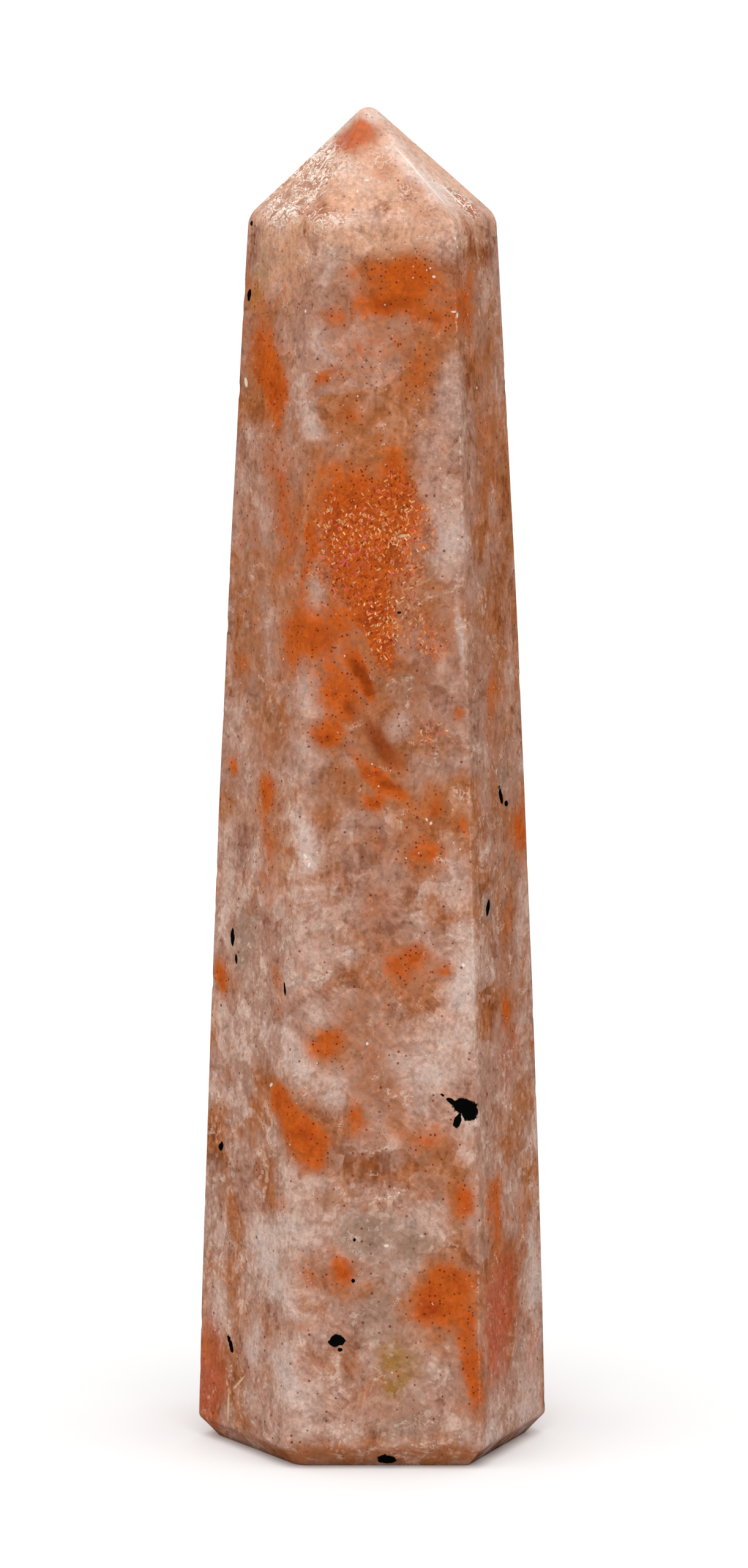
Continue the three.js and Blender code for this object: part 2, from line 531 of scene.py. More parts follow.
@dataclass
class StoneLoft:
    """Lofts rounded six-sided sections along the outline, and wears the surface.

    Attributes:
        outline: The outline that carries the sections.
        half_depth_share: Axis to the front or back face, as a share of the half width.
        point_offset: How far right of the axis the point stands.
        arc_steps: Chords in each worn edge of a section.
        face_steps: Points between two worn edges.
        ripple: How far the hand-held polish leaves the faces from flat.
        ripple_size: How wide the polish ripples.
        chip_depth: How deep the nicks on the edges are.
        chip_size: How far apart the nicks are.
        chip_hollow: How far from its middle, in cells, a nick ends and is full.
        chip_chosen: The random number at which a cell starts to have one, and has it in full.
        least_wear: How much of the wear a blunt edge has.
        worn_width: How far from a ridge the wear reaches.
        ridge_width: How much further an arc's own ends count as from its ridge.
        rim_gap: How much less worn the level edges are, as a distance.
        sharp_rounding: A long edge of this rounding is nicked in full.
        blunt_rounding: One of this rounding is hardly nicked.
        still_height: Below this height the wear dies out, so that the base stays flat.
        weld: Points this near to one another become one.
        broad_stir: How far the broad bends in the grain carry it.
        broad_size: How wide those bends are.
        fine_stir: How far the small bends carry it.
        fine_size: How wide those are.
        seed: Moves the wear to other places.
    """

    outline: StoneOutline = field(default_factory=StoneOutline)
    half_depth_share: float = 0.869
    point_offset: float = -0.3 * MM
    arc_steps: int = 6
    face_steps: int = 33
    ripple: float = 0.1 * MM
    ripple_size: float = 13 * MM
    chip_depth: float = 0.1 * MM
    chip_size: float = 1.15 * MM
    chip_hollow: Range = (0.55, 0.15)
    chip_chosen: Range = (0.6, 0.75)
    least_wear: float = 0.1
    worn_width: float = 0.45 * MM
    ridge_width: float = 0.8 * MM
    rim_gap: float = 0.2 * MM
    sharp_rounding: float = 0.5 * MM
    blunt_rounding: float = 1.4 * MM
    still_height: float = 1.2 * MM
    weld: float = 0.001 * MM
    broad_stir: float = 1.6 * MM
    broad_size: float = 5.5 * MM
    fine_stir: float = 0.9 * MM
    fine_size: float = 1.7 * MM
    seed: float = 4.0

    def section(self, bench: GeometryBench, places: Sequence[Any], radii: Any, half_width: Any,
                depth: Any, steps: Any) -> Socket:
        """Draws one section as shares of its half width, with its corners rounded.

        Args:
            bench: The tree.
            places: The six corners.
            radii: The rounding at the corner in hand.
            half_width: The half width that the roundings belong to.
            depth: Half depth as a share of the half width.
            steps: Chords in each rounding.

        Returns:
            The closed curve's socket.
        """
        index = bench.node("GeometryNodeInputIndex").outputs[0]
        squeeze = bench.node("ShaderNodeCombineXYZ", {"X": 1.0, "Y": depth}).outputs[0]
        corner = bench.vector("MULTIPLY", bench.pick(index, places, "VECTOR"), squeeze)
        hexagon = bench.node("GeometryNodeCurvePrimitiveCircle", {"Resolution": len(places)}).outputs[0]
        placed = bench.moved(hexagon, Position=corner)
        radius = bench.math("DIVIDE", radii, half_width)
        inputs = {"Curve": placed, "Count": steps, "Radius": radius}
        return bench.node("GeometryNodeFilletCurve", inputs, mode="POLY").outputs[0]

    def build(self, material: bpy.types.Material) -> bpy.types.Object:
        """Builds the stone.

        Args:
            material: The finish of the whole stone.

        Returns:
            The plain mesh object.
        """
        bench = GeometryBench("Sunstone loft")
        rule = self.outline
        profile = bench.entry.outputs["Geometry"]
        shoulder = bench.named("Shoulder height", rule.shoulder_height)
        sharp = bench.named("Sharp height", rule.sharp_height)
        bevel = bench.named("Bevel height", rule.bevel_height)
        wide = bench.named("Base half width", rule.base_half_width)
        narrow = bench.named("Shoulder half width", rule.shoulder_half_width)
        depth = bench.named("Half depth share", self.half_depth_share)
        offset = bench.named("Point offset", self.point_offset)
        arc_steps = bench.named("Arc steps", self.arc_steps)
        face_steps = bench.named("Face steps", self.face_steps)
        at_base = []
        at_shoulder = []
        roundings = []
        for corner, edge in LONG_EDGES.items():
            name = corner.name.replace("_", " ").capitalize()
            at_base.append(bench.named(f"{name} at base", Vector((*edge.at_base, 0))))
            at_shoulder.append(bench.named(f"{name} at shoulder", Vector((*edge.at_shoulder, 0))))
            roundings.append(bench.named(f"{name} rounding", edge.rounding))
        index = bench.node("GeometryNodeInputIndex").outputs[0]
        radii = bench.pick(index, roundings, "FLOAT")
        low_section = self.section(bench, at_base, radii, wide, depth, arc_steps)
        high_section = self.section(bench, at_shoulder, radii, narrow, depth, arc_steps)

        # A plain tube gives the net of points: one ring for each point of the outline, from the top
        per_side = bench.plus(bench.plus(arc_steps, 1.0), face_steps)
        corners = float(len(Corner))
        columns = bench.times(per_side, corners)
        levels = bench.node("GeometryNodeAttributeDomainSize", {"Geometry": profile}).outputs["Point Count"]
        rings = bench.less(levels, 1.0)
        tube = bench.node("GeometryNodeMeshCylinder", {"Vertices": columns, "Side Segments": rings},
                          fill_type="NONE").outputs["Mesh"]
        column = bench.math("MODULO", index, columns)
        row = bench.whole(index, columns)
        side = bench.whole(column, per_side)
        step = bench.less(column, bench.times(side, per_side))

        # Each side has the points of its worn edge first, and then points across the flat face
        worn = bench.plus(arc_steps, 1.0)
        first = bench.plus(bench.times(side, worn), bench.math("MINIMUM", step, arc_steps))
        second = bench.math("MODULO", bench.plus(first, 1.0), bench.times(worn, corners))
        past = bench.math("MAXIMUM", bench.less(step, arc_steps), 0.0)
        even = bench.math("DIVIDE", past, bench.plus(face_steps, 1.0))
        crowded = bench.span(even, 0.0, 1.0)
        across = bench.times(bench.plus(even, crowded), 0.5)

        half_width, _, height = bench.parts(bench.point_of(profile, row))
        way = bench.math("DIVIDE", bench.less(shoulder, height), bench.less(shoulder, bevel), clamp=True)
        climb = bench.math("DIVIDE", bench.less(height, shoulder), bench.less(sharp, shoulder), clamp=True)
        ends = [bench.between(way, bench.point_of(high_section, place), bench.point_of(low_section, place))
                for place in (first, second)]
        level_place = bench.vector("SCALE", bench.between(across, *ends), half_width)
        rise = bench.node("ShaderNodeCombineXYZ", {"X": bench.times(offset, climb), "Z": height})
        surface = bench.vector("ADD", level_place, rise.outputs[0])

        # How near a point is to the ridge of a worn edge, from 0 to 1
        face_width = bench.times(bench.vector("DISTANCE", *ends), half_width)
        nearer = bench.math("MINIMUM", across, bench.less(1.0, across))
        turned = bench.math("DIVIDE", bench.math("MINIMUM", step, arc_steps), arc_steps)
        off_ridge = bench.math("ABSOLUTE", bench.less(turned, 0.5))
        from_edge = bench.plus(bench.times(nearer, face_width), bench.times(off_ridge, self.ridge_width))
        from_shoulder = bench.math("ABSOLUTE", bench.less(height, shoulder))
        from_bevel = bench.math("ABSOLUTE", bench.less(height, bevel))
        from_rim = bench.plus(bench.math("MINIMUM", from_shoulder, from_bevel), self.rim_gap)
        corner = bench.math("MODULO", bench.plus(side, bench.math("GREATER_THAN", across, 0.5)), corners)
        rounding = bench.pick(corner, roundings, "FLOAT")
        sharpness = bench.span(rounding, self.blunt_rounding, self.sharp_rounding, self.least_wear)
        edge_wear = bench.math("MAXIMUM", bench.span(from_rim, self.worn_width, 0.0),
                               bench.times(bench.span(from_edge, self.worn_width, 0.0), sharpness))

        shaped = bench.moved(tube, Position=surface)
        marked = bench.store(shaped, "edge", edge_wear)
        marked = bench.store(marked, "level", height)
        joined = bench.node("GeometryNodeMergeByDistance", {"Geometry": marked, "Distance": self.weld})
        stirred = self.stir(bench, self.wear(bench, joined.outputs[0]))
        smooth = bench.node("GeometryNodeSetShadeSmooth", {"Geometry": stirred}).outputs[0]
        bench.close(smooth, material)
        return bench.run(rule.mesh(), "obelisk_stone")

    def stir(self, bench: GeometryBench, geometry: Any) -> Socket:
        """Keeps on each point how far the grain of the stone is stirred there.

        Args:
            bench: The tree.
            geometry: The worn mesh.

        Returns:
            The same mesh's socket, with the vector "stir" on its points.
        """
        broad = bench.named("Broad stir", self.broad_stir)
        fine = bench.named("Fine stir", self.fine_stir)
        position = bench.node("GeometryNodeInputPosition").outputs[0]
        moves = []
        for size, reach in ((self.broad_size, broad), (self.fine_size, fine)):
            drawn = bench.node("ShaderNodeTexNoise", {"Vector": position, "Scale": 1 / size, "Detail": 1.0})
            centred = bench.vector("SUBTRACT", drawn.outputs["Color"], MIDDLE)
            moves.append(bench.vector("SCALE", centred, reach))
        inputs = {"Geometry": geometry, "Name": "stir", "Value": bench.vector("ADD", *moves)}
        return bench.node("GeometryNodeStoreNamedAttribute", inputs, data_type="FLOAT_VECTOR").outputs[0]

    def wear(self, bench: GeometryBench, geometry: Any) -> Socket:
        """Ripples the polished faces and nicks the edges, inwards only.

        Args:
            bench: The tree.
            geometry: The sharp-cut mesh.

        Returns:
            The worn mesh's socket.
        """
        ripple = bench.named("Ripple", self.ripple)
        chip_depth = bench.named("Chip depth", self.chip_depth)
        seed = bench.named("Seed", self.seed)
        position = bench.node("GeometryNodeInputPosition").outputs[0]
        normal = bench.node("GeometryNodeInputNormal").outputs[0]
        edge = bench.kept("edge")
        level = bench.kept("level")
        shifted = bench.vector("ADD", position, bench.vector("SCALE", SEED_WAY, seed))
        wave = bench.noise(shifted, self.ripple_size, detail=1.0)
        wave_depth = bench.times(wave, ripple)
        cells = bench.cells(shifted, self.chip_size)
        draw = bench.parts(cells.outputs["Color"])[0]
        hollow = bench.span(cells.outputs["Distance"], *self.chip_hollow)
        chosen = bench.span(draw, *self.chip_chosen)
        nick_depth = bench.times(bench.times(bench.times(hollow, chosen), edge), chip_depth)
        above = bench.span(level, 0.0, self.still_height)
        sunk = bench.times(bench.plus(wave_depth, nick_depth), above)
        move = bench.vector("SCALE", normal, bench.times(sunk, -1.0))
        return bench.moved(geometry, Offset=move)


@dataclass(frozen=True)
class StudioCamera:
    """The camera, fitted to the stone's outline in the photograph. Sizes are in metres."""

    eye: tuple[float, float, float] = (0.14 * MM, -583 * MM, 137.3 * MM)
    aim: tuple[float, float, float] = (0.14 * MM, 0, 49.6 * MM)
    lens: float = 181.66
    sensor: float = 36.0

    def forward(self) -> Vector:
        """Gives the direction that the camera looks in."""
        return (Vector(self.aim) - Vector(self.eye)).normalized()

    def axes(self) -> tuple[Vector, Vector, Vector]:
        """Gives the picture's own directions.

        Returns:
            Right, up and forward.
        """
        forward = self.forward()
        right = forward.cross(Vector((0, 0, 1))).normalized()
        return right, right.cross(forward), forward

    def focal_pixels(self) -> float:
        """Gives the focal length in pixels of the photograph."""
        return self.lens / self.sensor * PHOTO_HEIGHT

    def ray(self, x: float, y: float) -> Vector:
        """Finds the direction that a pixel of the photograph looks in.

        Args:
            x: Pixels from the left.
            y: Pixels from the top.

        Returns:
            The direction, of length 1.
        """
        right, up, forward = self.axes()
        aside = right * (x - PHOTO_WIDTH / 2)
        above = up * (PHOTO_HEIGHT / 2 - y)
        return (forward * self.focal_pixels() + aside + above).normalized()

    def place(self) -> None:
        """Puts the camera in the scene."""
        data = bpy.data.cameras.new("studio_camera")
        data.lens = self.lens
        data.sensor_width = self.sensor
        data.sensor_fit = "AUTO"
        data.clip_start = 0.01
        data.clip_end = 100
        seat = bpy.data.objects.new("studio_camera", data)
        seat.location = self.eye
        seat.rotation_euler = self.forward().to_track_quat("-Z", "Y").to_euler()
        bpy.context.scene.collection.objects.link(seat)
        bpy.context.scene.camera = seat


@dataclass(frozen=True)
class Mark:
    """One marking in the stone: a lens-shaped lump of another grain that the cut goes through.

    Attributes:
        kind: Its colouring, or the kind of speck that it is.
        x: Its middle in the photograph, in pixels from the left.
        y: Its middle in the photograph, in pixels from the top.
        wide: Its width there, in pixels.
        tall: Its length there, in pixels.
        strength: How full its colour is.
        lean: How far its length leans to the right of upright, in degrees.
    """

    kind: Kind
    x: float
    y: float
    wide: float
    tall: float
    strength: float = 1.0
    lean: float = 0.0


@dataclass(frozen=True)
class Lump:
    """A marking placed in the stone: its middle, its three directions and its half sizes."""

    kind: Kind
    middle: Vector
    turn: Matrix
    reach: Vector
    strength: float


# What the photograph shows, kind by kind. Each row holds the numbers of one Mark, in its order
SEEN: dict[Kind, tuple[tuple[float, ...], ...]] = {
    Tint.EMBER: (
        (590, 214, 58, 46), (564, 236, 52, 34, 0.95, 35), (635, 280, 34, 40, 0.4),
        (675, 310, 54, 40, 0.5, -30), (505, 346, 76, 28, 0.5), (610, 262, 30, 60, 0.25, -20),
        (700, 345, 60, 24, 0.35, -30), (765, 335, 18, 64, 0.75, -50), (455, 760, 60, 160, 0.35),
        (660, 462, 116, 80), (612, 500, 90, 46, 0.7), (700, 520, 70, 34, 0.6, 15), (545, 520, 60, 30, 0.45),
        (766, 492, 26, 140, 0.45), (437, 590, 40, 170, 0.8, -7), (447, 630, 30, 90, 0.7, -7),
        (472, 458, 90, 120, 0.34), (582, 445, 80, 50, 0.3), (612, 562, 150, 64, 0.4),
        (585, 615, 70, 60, 0.3), (748, 505, 50, 90, 0.4), (752, 500, 36, 50, 0.4),
        (522, 622, 24, 48, 0.75, 60), (680, 605, 54, 100, 0.55, 20), (570, 678, 44, 40, 0.6),
        (796, 720, 42, 200, 0.45), (594, 855, 142, 170), (655, 800, 44, 130, 0.8, -14),
        (552, 845, 56, 150, 0.7), (605, 985, 76, 130, 0.95, -12), (624, 1048, 32, 90, 0.75, -10),
        (467, 880, 46, 190, 0.5), (498, 900, 16, 130, 0.6, 6), (496, 1038, 96, 84, 0.95, 25),
        (548, 1008, 80, 56, 0.5), (400, 870, 40, 60, 0.35), (392, 1075, 44, 50, 0.5),
        (700, 1048, 66, 90, 0.42), (600, 1210, 180, 240, 0.15, -20), (470, 1085, 70, 100, 0.35),
        (586, 1100, 22, 84, 1.0, -24), (550, 1130, 50, 92, 1.0, -14), (536, 1203, 38, 52, 1.0, 8),
        (642, 1244, 36, 60, 0.3, -40), (632, 1284, 24, 104, 0.95, -46), (592, 1262, 14, 84, 0.55, -40),
        (610, 1313, 36, 24, 0.85), (440, 1290, 40, 62, 0.8), (382, 1252, 26, 38, 0.85),
        (805, 1130, 24, 110, 0.55), (752, 1165, 18, 20, 0.8), (710, 1312, 34, 54, 0.7),
        (757, 1342, 26, 34, 0.75), (850, 1355, 30, 104, 0.8), (437, 1390, 32, 150, 0.6),
        (690, 1390, 100, 64, 0.45, 20), (700, 1385, 40, 34, 0.45, 20), (605, 1380, 40, 60, 0.4, -30),
        (615, 1490, 50, 90, 0.42), (672, 1575, 80, 76, 0.8, 10), (730, 1585, 24, 24, 0.7),
        (826, 1500, 20, 80, 0.55), (526, 2066, 50, 50, 0.25), (806, 1954, 50, 60, 0.25),
        (362, 1592, 26, 66, 0.85), (452, 1590, 20, 60, 0.5, -20), (456, 1650, 34, 34, 0.5),
        (543, 1698, 50, 40, 0.8), (520, 1712, 70, 50, 0.45, 30), (454, 1795, 46, 64, 1.0, -35),
        (482, 1838, 50, 100, 0.9, -40), (508, 1872, 64, 76, 1.0, -20), (582, 1822, 34, 58, 0.7),
        (700, 1858, 74, 66, 0.6), (826, 1648, 18, 58, 0.85), (375, 1760, 26, 34, 0.45),
        (640, 1840, 70, 60, 0.3), (600, 1715, 110, 120, 0.25), (752, 1962, 50, 58, 0.8, -20),
        (553, 2070, 40, 66, 0.75, -22), (508, 2085, 40, 76, 0.45, -42), (462, 1965, 28, 40, 0.5),
        (722, 2128, 88, 88), (705, 2130, 120, 110, 0.3), (745, 2092, 76, 60, 0.65),
        (768, 2190, 44, 150, 0.7, -6), (775, 2262, 30, 90, 0.8, -4), (812, 2010, 40, 120, 0.6),
        (852, 1990, 24, 76, 0.5), (492, 2172, 56, 22, 0.4), (338, 2190, 30, 70, 0.5),
        (806, 1945, 44, 70, 0.55),
    ),
    Tint.GLITTER: (
        (598, 890, 150, 130), (650, 850, 66, 130, 0.95), (612, 975, 70, 130, 0.95, -12),
        (624, 1045, 30, 90, 0.8, -8), (545, 820, 50, 60, 0.5), (700, 1048, 60, 84, 0.45),
        (712, 1195, 40, 50, 0.35), (815, 2150, 44, 170, 0.3, 5),
    ),
    Tint.MILK: (
        # Painted light among these: (834, 1090) and (848, 1560) are pale rims along the right side; (502,
        # 1120) down to (505, 1520) are glare on the rounded front-left edge, partly pale stone too
        (600, 172, 80, 52), (618, 190, 60, 40, 1.0, -40), (690, 290, 40, 110, 0.9, -40),
        (600, 300, 50, 60, 0.5), (648, 238, 30, 70, 0.7, -20), (560, 285, 24, 80, 0.6, 12),
        (455, 345, 70, 40, 0.7, 45), (600, 354, 140, 22, 0.6), (735, 318, 40, 90, 0.6, -45),
        (806, 834, 40, 80, 0.3), (862, 2300, 50, 160, 0.5), (834, 1090, 18, 260, 0.5),
        (848, 1560, 18, 200, 0.5), (650, 1655, 70, 50, 0.3), (414, 722, 50, 80, 0.5),
        (414, 946, 50, 80, 0.4), (694, 722, 60, 70, 0.5), (525, 440, 46, 80, 0.5), (520, 560, 36, 60, 0.75),
        (512, 690, 50, 60, 0.75), (736, 620, 50, 120, 0.65), (470, 722, 60, 70, 0.5),
        (736, 410, 44, 76, 0.6), (732, 684, 56, 130, 0.5), (738, 870, 46, 110, 0.95, -14),
        (702, 806, 36, 90, 0.6, -20), (515, 940, 26, 80, 0.6), (753, 1030, 13, 120, 0.85),
        (385, 770, 40, 160, 0.5), (502, 1120, 40, 90, 0.75, -16), (506, 1245, 44, 80, 0.6),
        (655, 1185, 60, 50, 0.7, -30), (498, 1372, 32, 90, 0.7, -5), (503, 1410, 26, 30),
        (505, 1520, 120, 170, 0.7), (582, 1446, 56, 60, 0.4), (526, 1392, 60, 60, 0.4),
        (470, 1610, 70, 80, 0.55), (585, 1562, 60, 50, 0.4), (750, 1506, 60, 70, 0.45),
        (372, 1420, 44, 170, 0.8), (414, 2200, 60, 90, 0.5), (526, 1240, 34, 40, 0.5),
        (806, 834, 30, 60, 0.4), (470, 610, 60, 60, 0.35), (414, 778, 50, 60, 0.4),
        (520, 1168, 40, 60, 0.4), (526, 1566, 60, 50, 0.5), (500, 1728, 44, 54, 0.9),
        (470, 1690, 40, 60, 0.6), (530, 1665, 60, 40, 0.6, 30), (540, 1790, 56, 90, 0.75, -50),
        (763, 1610, 44, 120), (735, 1690, 90, 110, 0.65), (700, 1752, 110, 56, 0.7, 10),
        (436, 2035, 100, 120, 0.95, -30), (480, 2005, 50, 70, 0.5), (455, 2110, 70, 44, 0.65, -20),
        (690, 1990, 60, 60, 0.5), (768, 1986, 22, 22, 0.8), (631, 2036, 22, 22, 0.9),
        (462, 2230, 44, 100, 0.85, -30), (870, 2270, 40, 160, 0.7), (480, 2285, 110, 90, 0.75),
        (470, 2150, 90, 80, 0.55), (560, 2340, 120, 50, 0.55), (560, 2290, 90, 90, 0.25),
        (700, 2345, 110, 44, 0.2), (526, 2178, 70, 70, 0.6), (414, 2178, 70, 60, 0.55),
        (358, 2120, 50, 80, 0.5), (806, 2346, 70, 50, 0.65), (470, 2340, 60, 46, 0.5),
        (638, 1950, 60, 50, 0.5), (806, 2290, 60, 60, 0.5), (414, 2290, 70, 60, 0.5),
        (414, 2122, 60, 60, 0.45), (360, 2136, 40, 110, 0.55), (808, 2344, 60, 44, 0.7),
        (586, 1950, 40, 50, 0.5), (474, 2232, 60, 50, 0.4), (770, 2332, 60, 56, 0.5),
        (874, 2080, 30, 180, 0.8),
    ),
    Tint.SMOKE: (
        (540, 425, 50, 60, 0.6), (735, 700, 60, 140, 0.4), (788, 935, 30, 50, 0.8),
        (650, 1120, 70, 70, 0.5), (400, 1530, 60, 130, 0.9), (818, 1275, 34, 60, 0.8),
        (797, 1480, 26, 60, 0.9, 8), (640, 2346, 70, 50, 0.45), (750, 2346, 60, 50, 0.35),
        (650, 2320, 110, 70, 0.5), (600, 2012, 100, 66, 1.0, -20), (665, 2026, 90, 60, 0.9),
        (620, 2140, 110, 130, 0.75), (690, 2270, 90, 90, 0.5),
    ),
    Tint.OCHRE: (
        (420, 495, 40, 56, 0.8, 10), (440, 430, 60, 90, 0.4), (426, 434, 60, 120, 0.4),
        (470, 396, 60, 60, 0.25), (565, 1480, 50, 70, 0.4), (655, 2212, 80, 66, 0.95, 50),
        (650, 2258, 30, 70, 0.95, 40),
    ),
    Tint.BLUSH: (
        (580, 925, 60, 60, 0.7), (830, 1700, 36, 240, 0.5), (818, 2150, 56, 220, 1.0, 5),
        (345, 2240, 56, 180, 1.0, -4), (866, 2220, 30, 120, 0.5),
    ),
    Tint.UMBER: (
        # Painted shade among these: the three flat rows near y 2375 darken the bevel, which faces down; the
        # long upright rows on the right face, (795, 560) to (850, 1980), are brown streaks that also darken
        # that side
        (795, 560, 60, 330, 0.4), (806, 930, 70, 290, 0.3), (822, 1240, 70, 330, 0.4),
        (838, 1620, 70, 330, 0.4), (850, 1980, 70, 300, 0.2), (470, 470, 70, 120, 0.15),
        (412, 640, 50, 260, 0.55), (410, 950, 50, 260, 0.55), (380, 1280, 40, 130, 0.4),
        (470, 2372, 150, 26, 0.8), (620, 2380, 150, 26, 0.8), (760, 2372, 150, 26, 0.8),
        (560, 1010, 110, 70, 0.45), (750, 1035, 80, 120, 0.4), (618, 1210, 60, 110, 1.0, -34),
        (572, 1290, 90, 60, 0.7), (645, 1112, 80, 80, 0.8), (750, 834, 50, 70, 0.35),
        (746, 960, 60, 100, 0.4), (694, 1002, 60, 60, 0.4), (414, 1110, 60, 150, 0.4),
        (806, 1338, 50, 60, 0.45), (470, 1226, 60, 60, 0.3), (582, 1674, 60, 60, 0.45),
        (610, 1790, 120, 60, 0.45), (526, 1954, 50, 60, 0.45), (582, 2066, 60, 60, 0.5),
        (600, 1060, 80, 60, 0.5), (640, 1170, 80, 80, 0.6), (640, 1285, 90, 80, 0.6),
        (806, 1285, 44, 70, 0.6), (440, 1230, 110, 70, 0.55), (605, 1730, 110, 130, 0.5),
        (660, 2300, 120, 80, 0.4), (640, 2232, 80, 60, 0.4),
    ),
    Tint.RUSSET: (
        (588, 1104, 18, 66, 1.0, -32), (566, 1158, 22, 34, 0.7, -20), (628, 1218, 32, 90, 1.0, -44),
        (638, 1284, 18, 56, 0.8, -56), (707, 1312, 26, 40, 0.5), (540, 1208, 18, 30, 0.6),
        (585, 1012, 60, 50, 0.45), (638, 900, 50, 90, 0.5), (600, 770, 30, 70, 0.3),
        (650, 492, 80, 36, 0.5, -10), (700, 526, 40, 20, 0.45), (752, 512, 30, 50, 0.45),
        (428, 610, 24, 60, 0.4), (565, 228, 22, 20, 0.4), (740, 2150, 40, 50, 0.3),
    ),
    Tint.PALE: (
        (650, 386, 130, 44, 0.75), (464, 446, 90, 130, 0.7),
    ),
    Tint.PITTED: (
        (492, 300, 90, 130, 1.0, 42), (760, 330, 24, 70, 0.6, -45), (620, 262, 60, 44, 0.32),
        (668, 318, 64, 50, 0.32, -30), (525, 352, 110, 26, 0.36),
    ),
    Speck.GRAIN: (
        (411, 365, 6, 8), (407, 482, 7, 21, 1.0, 8), (756, 1808, 38, 24), (766, 1818, 28, 26),
        (748, 1830, 13, 26, 1.0, 20), (738, 1799, 9, 20, 1.0, -55), (723, 1788, 4, 7, 1.0, -50),
        (549, 2190, 24, 17), (556, 2204, 8, 7), (380, 1532, 6, 25), (386, 1566, 4, 16), (361, 1641, 5, 5),
        (465, 1613, 3, 24, 1.0, -5), (634, 2382, 32, 18), (361, 1872, 9, 16, 1.0, 15),
        (377, 2196, 7, 32, 1.0, -16), (577, 2091, 6, 6), (818, 1298, 7, 30, 1.0, -14), (827, 1312, 14, 9),
        (652, 1000, 7, 5), (797, 1482, 7, 26, 1.0, 10), (579, 2024, 6, 8),
    ),
    Speck.GLINT: (
        # Painted highlights, laid as colour: small bright spots, bright points along the front-right edge,
        # and thin lines along the ridges of the point
        (744, 389, 4, 6), (747, 403, 5, 4), (741, 509, 9, 3), (747, 515, 3, 9), (499, 508, 4, 5),
        (402, 624, 5, 15, 1.0, -8), (703, 438, 3, 3), (697, 441, 2, 3), (779, 633, 3, 4), (599, 294, 8, 3),
        (584, 312, 3, 6), (566, 361, 3, 3), (561, 363, 2, 3), (570, 359, 2, 2), (530, 360, 3, 2),
        (525, 361, 2, 2), (715, 305, 4, 5), (690, 290, 3, 150, 1.0, -40), (532, 262, 3, 90, 1.0, 33),
        (742, 322, 3, 70, 1.0, -48), (709, 452, 5, 4), (748, 880, 3, 3), (697, 1338, 4, 7, 1.0, -25),
        (704, 1344, 4, 6, 1.0, 30), (499, 1398, 5, 12, 1.0, -30), (505, 1412, 4, 9, 1.0, 20),
        (443, 1771, 4, 8, 1.0, 40), (757, 1576, 5, 7), (600, 1704, 4, 5), (631, 2034, 6, 4),
    ),
    Speck.SEAM: (
        (390, 2258, 3, 44, 1.0, 38), (373, 2296, 3, 52, 1.0, 2), (658, 875, 24, 7, 1.0, -12),
    ),
}

# A pale point, partly painted light from above that ends at the shoulder, and slightly warmer stone about
# the upper body
BROAD_LUMPS = (
    Lump(Tint.PALE, Vector((0, 0, 97 * MM)), Matrix.Identity(3), Vector((18, 17, 7)) * MM, 1.0),
    Lump(Tint.EMBER, Vector((0, 0, 70 * MM)), Matrix.Identity(3), Vector((14, 14, 18)) * MM, 0.18),
)


